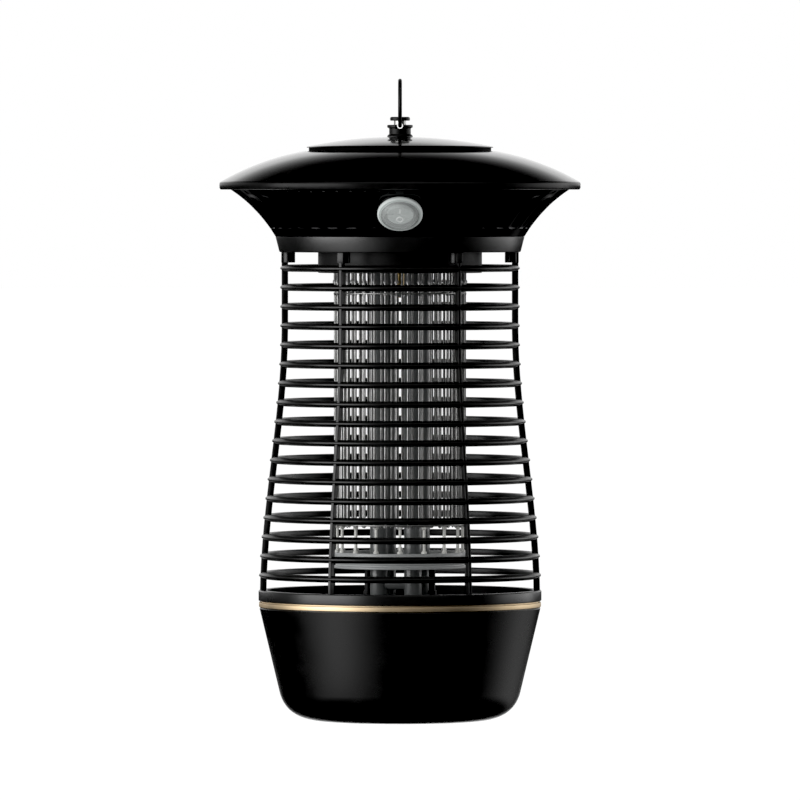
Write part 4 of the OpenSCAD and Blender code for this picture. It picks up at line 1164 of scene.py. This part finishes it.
@dataclass
class Lamp:
    """Compact lamp of four dark tubes on an ivory base."""

    tube_d: float = 11.8 * MM
    bridge_d: float = 7 * MM
    bridge_up: float = 6 * MM
    shoulder: float = 0.5 * MM

    def build(self) -> None:
        """Builds the tubes with their bridges, and the base."""
        low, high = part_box("lamp_tubes")
        radius = self.tube_d / 2
        centre = low.z + radius
        turns = [math.pi / 2 * i / 10 for i in range(11)]
        tube = [(radius * math.sin(t), centre - radius * math.cos(t)) for t in turns]
        tube += [(radius, high.z - 2 * self.shoulder), (radius - self.shoulder, high.z), (0, high.z)]
        shape = Shape()
        for angle in TUBE_TURNS:
            shape.spin(tube, steps=40, closed=False, place=Matrix.Translation(polar(TUBE_CIRCLE, angle)))
        for pair in (TUBE_TURNS[:2], TUBE_TURNS[2:]):
            ends = [polar(TUBE_CIRCLE, angle, centre + self.bridge_up) for angle in pair]
            shape.rod(*ends, self.bridge_d / 2, 28)
        publish(shape.finish("lamp_glass", (DARK_GLASS,)), HOUSING, "dark_glass", "lamp_tubes")
        base = Shape()
        outline = oblong(0, *spans("lamp_base"))
        base.spin(rounded(outline, 1.2 * MM, 5, closed=False), steps=96, closed=False)
        publish(base.finish("lamp_socket_cap", (CERAMIC,)), HOUSING, "ceramic", "lamp_base")


# ---------------------------------------------------------------- grids


@dataclass
class Grids:
    """Two rings of live wires, the carrier above them, their posts and the lower insulator."""

    wires: int = 36
    wire_d: float = 1.6 * MM
    outer_r: float = 43.2 * MM
    inner_r: float = 39.9 * MM
    outer_hoop: float = 0.5 * MM
    inner_hoop: float = -0.4 * MM
    outer_lug: float = 48.5 * MM
    inner_lug: float = 34 * MM
    lug_d: float = 6 * MM
    lug_hole: float = 3.4 * MM
    turn: float = math.radians(-2.9 - 90)
    hoop_t: float = 1.6 * MM
    hoop_wire: float = 1.1 * MM
    clip_wire: float = 0.7 * MM
    peg_d: float = 3.2 * MM
    peg_l: float = 6.7 * MM
    peg_neck: float = 1.9 * MM
    carrier_wall: float = 3 * MM
    lamp_bore: float = 24.6 * MM
    screw_circle: float = 49.1 * MM
    screw_turn: float = 20.0
    screw_lug: float = 3.8 * MM
    posts: int = 16
    post_d: float = 3.6 * MM
    upper_hoop: float = 283.41 * MM
    drum_z: float = 101.5 * MM
    drum_floor: float = 2.4 * MM
    tube_hole: float = 6.4 * MM
    foot_out: float = 21.3 * MM
    foot_d: float = 4.4 * MM
    foot_pad: float = 6 * MM

    def build(self) -> None:
        """Builds the carrier, both grids, the posts and the insulator."""
        self._carrier()
        between = self.turn + math.pi / self.wires
        self._grid("outer_wires", "outer_grid", self.outer_r, self.outer_hoop, self.turn, self.outer_lug)
        self._grid("inner_wires", "inner_grid", self.inner_r, self.inner_hoop, between, self.inner_lug)
        self._posts()
        self._insulator()

    def _carrier(self) -> None:
        """Round black cup with a peg over each outer wire and four lugs for its screws."""
        radius, low, high = spans("grid_carrier")
        floor = low + self.peg_l
        wall = self.carrier_wall
        section = [
            (self.lamp_bore, floor), (radius, floor), (radius, high), (radius - wall, high),
            (radius - wall, floor + wall), (self.lamp_bore, floor + wall),
        ]
        pegs = Shape()
        peg = [
            (0, low), (self.peg_d / 2, low), (self.peg_d / 2, low + 1.3 * MM),
            (self.peg_neck / 2, low + 2.2 * MM), (self.peg_neck / 2, floor + 0.5 * MM),
        ]
        pegs.spin(peg, steps=16, closed=False, place=Matrix.Translation((self.outer_r, 0, 0)))
        pegs.repeat(self.wires, self.turn)
        shape = Shape()
        shape.take(pegs.bm)
        peg_faces = set(shape.bm.faces)
        shape.spin(rounded(section, 0.6 * MM), steps=128)
        for i in range(4):
            spot = polar(self.screw_circle, math.radians(self.screw_turn + 90 * i))
            shape.column(spot, floor + 1 * MM, high, self.screw_lug, 24)
        shape.paint(lambda f: 1 if f in peg_faces else 0)
        publish(shape.finish("grid_holder", (INNER_BLACK, PEG_GREY)), HOUSING, "inner_black", "grid_carrier")

    def _grid(self, name: str, node: str, radius: float, hoop_step: float, turn: float, lug_r: float) -> None:
        """Builds one grid: its wires, its two hoops, a clip at each crossing and its lug.

        Args:
            name: The piece's name.
            node: The CAD node that it stands for.
            radius: Radius of the circle that the wires stand on.
            hoop_step: How far the hoops' middle lies outside that circle.
            turn: Angle of the first wire.
            lug_r: Radius at which the lug takes its stud.
        """
        _, low, high = spans(node)
        shape = Shape()
        shape.column(Vector((radius, 0, 0)), low, high, self.wire_d / 2, 14)
        middle = radius + hoop_step
        lug_z = self.upper_hoop + self.hoop_t / 2
        hoops = (low + self.hoop_t / 2, lug_z)
        for z in hoops:
            self._hook(shape, middle, z)
        shape.repeat(self.wires, turn)
        for z in hoops:
            shape.spin(circle(middle, z, self.hoop_wire / 2, 12), steps=144)
        place = Matrix.Translation((0, (lug_r + radius) / 2, lug_z))
        shape.block((self.lug_d, abs(lug_r - radius), self.hoop_t * 0.98), place, 0.2 * MM)
        lug = oblong(self.lug_hole / 2, self.lug_d / 2, self.upper_hoop, self.upper_hoop + self.hoop_t)
        shape.spin(rounded(lug, 0.2 * MM), steps=40, place=Matrix.Translation((0, lug_r, 0)))
        publish(shape.finish(name, (STEEL,)), HOUSING, "steel", node)

    def _hook(self, shape: Shape, middle: float, z: float) -> None:
        """Small bent clip that ties one wire to a hoop: a half turn under the hoop, open upwards.

        Args:
            shape: The shape that it joins.
            middle: Radius of the hoop.
            z: Height of the hoop.
        """
        reach = (self.wire_d + self.clip_wire) / 2
        droop = 1.2
        turns = [math.pi * i / 8 for i in range(9)]
        bend = [Vector((middle, -reach * math.cos(t), z - reach * math.sin(t) * droop)) for t in turns]
        shape.sweep(bend, self.clip_wire / 2, 6)

    def _posts(self) -> None:
        """Ivory posts between the lower insulator and the grids."""
        _, low, high = spans("grid_standoffs")
        radius = self.post_d / 2
        waist = radius * 0.52
        section = [
            (0, low), (radius, low), (radius, low + 1.2 * MM), (waist, low + 2 * MM),
            (waist, high - 2 * MM), (radius, high - 1.2 * MM), (radius, high), (0, high),
        ]
        shape = Shape()
        middle = Matrix.Translation(((self.outer_r + self.inner_r) / 2, 0, 0))
        shape.spin(section, steps=20, closed=False, place=middle)
        shape.repeat(self.posts, math.radians(-90))
        publish(shape.finish("grid_posts", (CERAMIC,)), HOUSING, "ceramic", "grid_standoffs")

    def _insulator(self) -> None:
        """Silver-grey drum on two feet, open round the lamp's tubes."""
        radius, _, top = spans("lower_insulator")
        low = self.drum_z
        drum_r = radius - 1 * MM
        groove_r = drum_r - 0.6 * MM
        bore = drum_r - self.post_d - 0.8 * MM
        floor = low + 2.5 * MM
        section = [
            (bore, low), (radius, low), (radius, low + 1.5 * MM), (groove_r, low + 1.9 * MM),
            (groove_r, low + 2.9 * MM), (drum_r, low + 3.3 * MM), (drum_r, top), (bore, top),
        ]
        shape = Shape()
        shape.spin(rounded(section, 0.5 * MM), steps=128)
        shape.take(self._drum_floor(bore + 0.4 * MM, floor))
        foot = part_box("lower_insulator")[0].z
        for side in (-1, 1):
            spot = Vector((side * self.foot_out, 0, 0))
            shape.column(spot, foot, floor + 1 * MM, self.foot_d / 2, 28)
            shape.column(spot, foot, foot + 2.4 * MM, self.foot_pad / 2, 28)
        shape.paint(lambda f: 1 if f.calc_center_median().z < low - 0.1 * MM else 0)
        piece = shape.finish("insulator_drum", (DRUM_GREY, INNER_BLACK))
        publish(piece, HOUSING, "drum_grey", "lower_insulator")

    def _drum_floor(self, radius: float, floor: float) -> bmesh.types.BMesh:
        """Round plate with a clearance hole for each tube, cut by leaving out its faces.

        Args:
            radius: Radius of the plate.
            floor: Height of its underside.

        Returns:
            The plate as a bmesh.
        """
        rings = 24
        bm = turned([(radius * i / rings, floor) for i in range(rings + 1)], 96)
        hole = self.tube_hole
        centres = [polar(TUBE_CIRCLE, angle, floor) for angle in TUBE_TURNS]
        for vert in bm.verts:
            for centre in centres:
                away = vert.co - centre
                if hole * 0.75 < away.length < hole:
                    vert.co = centre + away.normalized() * hole
        inside = hole * 0.97
        gone = [f for f in bm.faces if any((f.calc_center_median() - c).length < inside for c in centres)]
        bmesh.ops.delete(bm, geom=gone, context="FACES")
        bmesh.ops.solidify(bm, geom=bm.faces[:], thickness=self.drum_floor)
        bmesh.ops.recalc_face_normals(bm, faces=bm.faces[:])
        top = max(v.co.z for v in bm.verts)
        bmesh.ops.translate(bm, vec=(0, 0, floor + self.drum_floor - top), verts=bm.verts[:])
        return bm


# ---------------------------------------------------------------- cage, trim and tray


@dataclass
class Cage:
    """Louvred cage: a stack of rings on upright posts over a foot ring with its spigot."""

    louvres: int = 17
    pitch: float = 12.76 * MM
    first: float = 9.9 * MM
    foot_h: float = 7.1 * MM
    spigot_h: float = 11 * MM
    spigot_r: float = 91 * MM
    top_r: float = 79.6 * MM
    flare: float = 175 * MM
    depth: float = 4.8 * MM
    height: float = 4.6 * MM
    lip: float = 1.2 * MM
    lip_body: float = 3 * MM
    posts: int = 6
    post_w: float = 2.2 * MM
    post_depth: float = 4.3 * MM
    post_inset: float = 0.9 * MM
    boss_r: float = 4.3 * MM
    boss_h: float = 7 * MM
    boss_inset: float = 4.7 * MM
    screw_hole: float = 1.95 * MM
    counterbore: float = 3.3 * MM

    def build(self) -> None:
        """Builds the foot, the louvres, the posts and the screw bosses as one piece."""
        self.foot_r, low, self.top = spans("cage")
        self.foot_z = low + self.spigot_h
        shape = Shape()
        self._foot(shape)
        for i in range(self.louvres):
            self._louvre(shape, self.foot_z + self.foot_h + self.first + i * self.pitch)
        uprights = Shape()
        self._post(uprights)
        self._boss(uprights)
        uprights.repeat(self.posts)
        shape.take(uprights.bm)
        foot_top = self.foot_z + self.foot_h + 0.1 * MM
        shape.paint(lambda f: 1 if f.calc_center_median().z < foot_top else 0)
        publish(shape.finish("louvre_cage", (CAGE_BLACK, FOOT_SATIN)), HOUSING, "cage_black", "cage")

    def lip_radius(self, z: float) -> float:
        """Outer radius of the cage at a height."""
        t = min(1.0, max(0.0, (z - self.foot_z) / (self.flare + self.foot_h)))
        return self.foot_r + (self.top_r - self.foot_r) * t * t * (3 - 2 * t)

    def _foot(self, shape: Shape) -> None:
        """Foot ring and the spigot that the tray slips over."""
        bore = self.spigot_r - 2 * MM
        top = self.foot_z + self.foot_h
        foot = self.foot_r
        section = [
            (bore, self.foot_z - self.spigot_h), (self.spigot_r, self.foot_z - self.spigot_h),
            (self.spigot_r, self.foot_z), (foot - 0.4 * MM, self.foot_z), (foot, self.foot_z + 0.4 * MM),
            (foot, top - 0.6 * MM), (foot - 0.6 * MM, top), (self.lip_radius(top) - 5.5 * MM, top),
            (bore, top - 2 * MM),
        ]
        shape.spin(rounded(section, 0.4 * MM), steps=224)

    def _louvre(self, shape: Shape, z: float) -> None:
        """One ring with a thin outer lip and a thicker body behind it, its middle at height z."""
        r = self.lip_radius(z)
        half, lip = self.height / 2, self.lip / 2
        body, inner = r - self.lip_body, r - self.depth
        section = [
            (r, z - lip), (r, z + lip), (body, z + half), (inner, z + half * 0.7), (inner, z - half * 0.7),
            (body, z - half),
        ]
        shape.spin(rounded(section, 0.4 * MM, 2), steps=200)

    def _post(self, shape: Shape) -> None:
        """Upright that follows the cage's flare, drawn in side view and thickened."""
        steps = 18
        low, high = self.foot_z + 1 * MM, self.top
        heights = [low + (high - low) * i / steps for i in range(steps + 1)]
        bm = bmesh.new()
        face = [(self.lip_radius(z) - self.post_inset, z) for z in heights]
        back = [(r - self.post_depth, z) for r, z in reversed(face)]
        bm.faces.new([bm.verts.new((r, -self.post_w / 2, z)) for r, z in face + back])
        extruded(bm, (0, self.post_w, 0))
        soften(bm, 0.35 * MM, beyond=40)
        shape.take(bm)

    def _boss(self, shape: Shape) -> None:
        """Screw boss at a post's top, with its counterbore."""
        low = self.top - self.boss_h
        step = low + 2.4 * MM
        centre = self.top_r - self.post_inset - self.boss_inset
        section = [
            (self.counterbore, low), (self.boss_r, low), (self.boss_r, self.top), (self.screw_hole, self.top),
            (self.screw_hole, step), (self.counterbore, step),
        ]
        shape.spin(rounded(section, 0.3 * MM), steps=40, place=Matrix.Translation((centre, 0, 0)))
        place = Matrix.Translation((centre + self.boss_r, 0, (low + self.top) / 2))
        shape.block((1.2 * MM, self.boss_r, self.boss_h), place, 0.2 * MM)


@dataclass
class Trim:
    """Champagne gold band over a shadow groove."""

    height: float = 3.2 * MM
    groove_depth: float = 1.4 * MM
    bore: float = 91.15 * MM
    edge: float = 0.3 * MM

    def build(self) -> None:
        """Turns the band's section."""
        radius, low, top = spans("trim_ring")
        band = low + self.height
        neck, brim = radius - self.groove_depth, radius - self.edge
        section = [
            (self.bore, low), (brim, low), (radius, low + self.edge), (radius, band - self.edge),
            (brim, band), (neck, band), (neck, top), (self.bore, top),
        ]
        shape = Shape()
        shape.spin(rounded(section, 0.2 * MM, 2), steps=224)
        publish(shape.finish("gold_band", (GOLD,)), HOUSING, "trim_gold", "trim_ring")


@dataclass
class Tray:
    """Bowl that catches the insects: tapering wall, rounded corner, flat base."""

    wall: float = 2 * MM
    corner_r: float = 80.1 * MM
    corner_h: float = 19 * MM
    base_r: float = 50 * MM
    height: float = 75 * MM
    ledge: float = 66.7 * MM
    ledge_h: float = 2 * MM
    bead: float = 1 * MM

    def build(self) -> None:
        """Turns the bowl's section, with a small bead at the mouth."""
        mouth, _, top = spans("tray")
        corner, wall = (self.corner_r, self.corner_h), self.wall
        taper = (mouth - self.corner_r) / (self.height - self.corner_h)
        toe = self.corner_r - taper * self.corner_h
        outer = self._curve(corner, (toe, 0.0), (self.base_r, 0.0))
        inner = self._curve((corner[0] - wall, corner[1]), (toe - wall, wall), (self.base_r, wall))
        bore, brim = mouth - wall, mouth - self.bead
        section = [(0.0, wall)] + list(reversed(inner))
        ledge_r = mouth - taper * (self.height - self.ledge) - wall
        section += [(ledge_r, self.ledge), (bore, self.ledge + self.ledge_h)]
        section += [(bore, top), (brim, top), (brim, self.height)]
        section += [(mouth - 0.25 * MM, self.height), (mouth, self.height - 0.35 * MM)]
        shape = Shape()
        shape.spin(section + outer + [(0.0, 0.0)], steps=224, closed=False)
        publish(shape.finish("catch_tray", (TRAY_BLACK,)), "tray", "collar_satin", "tray")

    @staticmethod
    def _curve(a: Point2, b: Point2, c: Point2, steps: int = 16) -> list[Point2]:
        """Points of a quadratic curve from a to c that starts and ends towards b."""
        points = []
        for t in (i / steps for i in range(steps + 1)):
            points.append(tuple((1 - t) ** 2 * a[k] + 2 * t * (1 - t) * b[k] + t * t * c[k] for k in (0, 1)))
        return points


# ---------------------------------------------------------------- kept frame nodes

KEPT_FINISHES = {
    "hanger_boss": HANGER_GREY, "hanger_washer": ZINC, "hanger_nut": ZINC, "deck": INNER_BLACK,
    "roof_screws": ZINC, "cage_screws": ZINC, "switch_terminals": BRASS, "driver_board": BOARD_GREEN,
    "board_screws": ZINC, "transformer_core": FERRITE, "transformer_coil": COIL_TAPE,
    "capacitors": FILM_BLUE, "fuse": FUSE_GLASS, "lamp_holder": CERAMIC, "holder_screws": ZINC,
    "lamp_pins": BRASS, "carrier_screws": ZINC, "grid_studs": BRASS, "stud_nuts": ZINC,
    "mains_leads": WIRE_BROWN, "switch_leads": WIRE_BLACK, "lamp_leads": WIRE_WHITE,
    "grid_leads": WIRE_RED,
}


def dress_kept_nodes() -> None:
    """Gives the CAD nodes that stay in view their finishes."""
    for name, finish in KEPT_FINISHES.items():
        node = frame["nodes"][name]
        for slot in node.material_slots:
            slot.material = finish.material()
        LOG.info("%s keeps its mesh", name)


# ---------------------------------------------------------------- studio


@dataclass
class Studio:
    """Pale floor, white surroundings, soft lights and the camera."""

    camera_distance: float = 7.0
    camera_height: float = 0.354
    aim_height: float = 0.2131
    picture_width: float = 0.5319
    sensor: float = 36.0
    ambient: float = 0.75
    black_level: float = 0.005
    floor_gap: float = 95 * MM
    card_left: tuple[float, ...] = (-1.52, -0.97, -0.77, -0.25)
    card_right: tuple[float, ...] = (1.28, 1.78, 2.0, 2.75)
    glow_left: float = 1.1
    glow_right: float = 0.5
    back_turn: tuple[float, float] = (2.75, 3.0)
    glow_back: float = 1.6
    ceiling_glow: float = 0.7
    slant_left: tuple[float, float] = (0.4, 0.52)
    slant_right: tuple[float, float] = (0.55, 0.68)
    card_inner: tuple[float, float] = (0.285, 0.32)
    card_outer: tuple[float, float] = (1.1, 1.4)
    floor_radius: float = 40.0
    floor_tints: tuple[float, float] = (0.78, 0.84)
    floor_glow: float = 1.05
    floor_share: float = 0.94
    light_aim: tuple[float, ...] = (0.0, 0.0, 0.25)
    left_spot: tuple[float, ...] = (-1.49, -0.82, 0.3)
    left_size: tuple[float, float] = (1.66, 1.3)
    left_power: float = 38.0
    right_spot: tuple[float, ...] = (1.78, 0.66, 0.3)
    right_size: tuple[float, float] = (1.7, 1.3)
    right_power: float = 13.0

    def build(self) -> None:
        """Builds the world, the floor, the lights and the camera."""
        scene = bpy.context.scene
        scene.view_settings.view_transform = "Standard"
        scene.view_settings.use_curve_mapping = True
        scene.view_settings.curve_mapping.black_level = (self.black_level,) * 3
        scene.view_settings.curve_mapping.update()
        self._world(scene)
        self._floor()
        self._light("light_left", self.left_spot, self.left_size, self.left_power)
        self._light("light_right", self.right_spot, self.right_size, self.right_power)
        self._camera(scene)

    def _world(self, scene: bpy.types.Scene) -> None:
        """White to the camera; to reflections, bright low behind the object and high in front."""
        world = bpy.data.worlds.new("studio_world")
        g = blank_graph(world)
        _, ahead, up = g.axes(g.add("TexCoord").outputs["Generated"])
        behind = g.remap(ahead, 0.0, 0.9, to_high=1.15)
        low = g.remap(up, 0.3, 0.56, 1.0, 0.0)
        front = g.remap(ahead, -0.5, -0.05, self.ceiling_glow, 0.0)
        ceiling = g.times(front, g.remap(up, 0.25, 0.5))
        reflected = g.math("ADD", ceiling, g.times(low, low, behind))
        path = g.add("LightPath")
        unseen = g.mix(path.outputs["Is Diffuse Ray"], reflected, (self.ambient,) * 3 + (1.0,))
        strength = g.mix(path.outputs["Is Camera Ray"], unseen, WHITE)
        shader = g.add("Background", Color=strength, Strength=1.0)
        g.add("OutputWorld", Surface=shader.outputs[0])
        world.cycles.sampling_method = "NONE"
        scene.world = world

    def _floor(self) -> None:
        """Large pale disc, white to the camera, glowing only in its cards, and clear from below."""
        shape = bmesh.new()
        sunk = Matrix.Translation((0.0, 0.0, -self.floor_gap))
        bmesh.ops.create_circle(shape, cap_ends=True, segments=96, radius=self.floor_radius, matrix=sunk)
        bmesh.ops.recalc_face_normals(shape, faces=shape.faces[:])
        material = bpy.data.materials.new("studio_floor")
        g = blank_graph(material)
        spot = g.add("TexCoord").outputs["Object"]
        dark, pale = ((tint,) * 3 + (1.0,) for tint in self.floor_tints)
        tint = g.mix(g.noise(spot, scale=3.0, detail=3.0), dark, pale)
        lit = g.add("BsdfDiffuse", Color=tint, Roughness=0.9)
        path = g.add("LightPath")
        seen = path.outputs["Is Camera Ray"]
        soft = g.times(path.outputs["Is Diffuse Ray"], self.ambient)
        cards = g.times(path.outputs["Is Glossy Ray"], self._bounce_cards(g, spot))
        power = g.math("ADD", g.math("ADD", soft, cards), g.times(seen, self.floor_glow))
        glow = g.add("Emission", Color=WHITE, Strength=power)
        share = g.remap(seen, 0.0, 1.0, 1.0, self.floor_share)
        above = g.fill(g.add("MixShader"), share, lit.outputs[0], glow.outputs[0])
        below = g.add("BsdfTransparent").outputs[0]
        both = g.fill(g.add("MixShader"), g.add("NewGeometry").outputs["Backfacing"], above, below)
        g.add("OutputMaterial", Surface=both)
        material.cycles.emission_sampling = "NONE"
        mesh = bpy.data.meshes.new("studio_floor")
        shape.to_mesh(mesh)
        shape.free()
        mesh.materials.append(material)
        floor = bpy.data.objects.new("studio_floor", mesh)
        bpy.context.scene.collection.objects.link(floor)

    def _bounce_cards(self, g: Graph, spot: bpy.types.NodeSocket) -> bpy.types.NodeSocket:
        """Pale cards on the floor that only reflections see: front left, behind right and at the back.

        Args:
            g: The floor material's graph.
            spot: The place on the floor.

        Returns:
            How bright the floor is to a reflection.
        """
        x, y, _ = g.axes(spot)
        turn = g.math("ARCTAN2", x, g.times(y, -1.0))
        slant = g.add("LayerWeight").outputs["Facing"]
        back = g.remap(g.math("ABSOLUTE", turn), *self.back_turn, 0.0, self.glow_back)
        sums = g.times(back, g.remap(slant, *self.slant_left))
        cards = (
            (self.card_left, self.glow_left, self.slant_left),
            (self.card_right, self.glow_right, self.slant_right),
        )
        for (start, full, fade, end), glow, low in cards:
            card = g.times(g.remap(turn, start, full, to_high=glow), g.remap(turn, fade, end, 1.0, 0.0))
            sums = g.math("ADD", sums, g.times(card, g.remap(slant, *low)))
        away = g.add("VectorMath", operation="LENGTH")
        g.fill(away, spot)
        near = g.remap(away.outputs["Value"], *self.card_inner)
        far = g.remap(away.outputs["Value"], *self.card_outer, 1.0, 0.0)
        return g.times(near, far, sums)

    def _light(self, name: str, spot: Sequence[float], size: tuple[float, float], power: float) -> None:
        """Adds a tall soft box.

        Args:
            name: The light's name.
            spot: Where it stands.
            size: Its width and height.
            power: Its power in watts.
        """
        lamp = bpy.data.lights.new(name, "AREA")
        lamp.shape = "RECTANGLE"
        lamp.size, lamp.size_y = size
        lamp.energy = power
        self._aimed(name, lamp, spot, self.light_aim)

    def _camera(self, scene: bpy.types.Scene) -> None:
        """Long lens at eye height, a little above the middle of the object."""
        data = bpy.data.cameras.new("studio_camera")
        data.sensor_width = self.sensor
        data.lens = self.sensor * self.camera_distance / self.picture_width
        data.clip_end = 200.0
        spot = (0.0, -self.camera_distance, self.camera_height)
        scene.camera = self._aimed("studio_camera", data, spot, (0.0, 0.0, self.aim_height))

    @staticmethod
    def _aimed(
        name: str, data: bpy.types.ID, spot: Sequence[float], aim: Sequence[float]
    ) -> bpy.types.Object:
        """Stands a light or a camera somewhere, aimed at a point, and returns its object."""
        holder = bpy.data.objects.new(name, data)
        holder.location = spot
        holder.rotation_euler = (Vector(aim) - Vector(spot)).to_track_quat("-Z", "Y").to_euler()
        bpy.context.scene.collection.objects.link(holder)
        return holder


def main() -> None:
    """Builds every sub-assembly, then the studio."""
    logging.basicConfig(level=logging.INFO, format="%(name)s: %(message)s")
    for part in (Roof, Hanger, Skirt, Collar, Switch, Gland, Lamp, Grids, Cage, Trim, Tray):
        part().build()
    dress_kept_nodes()
    Studio().build()


if __name__ == "__main__":
    main()
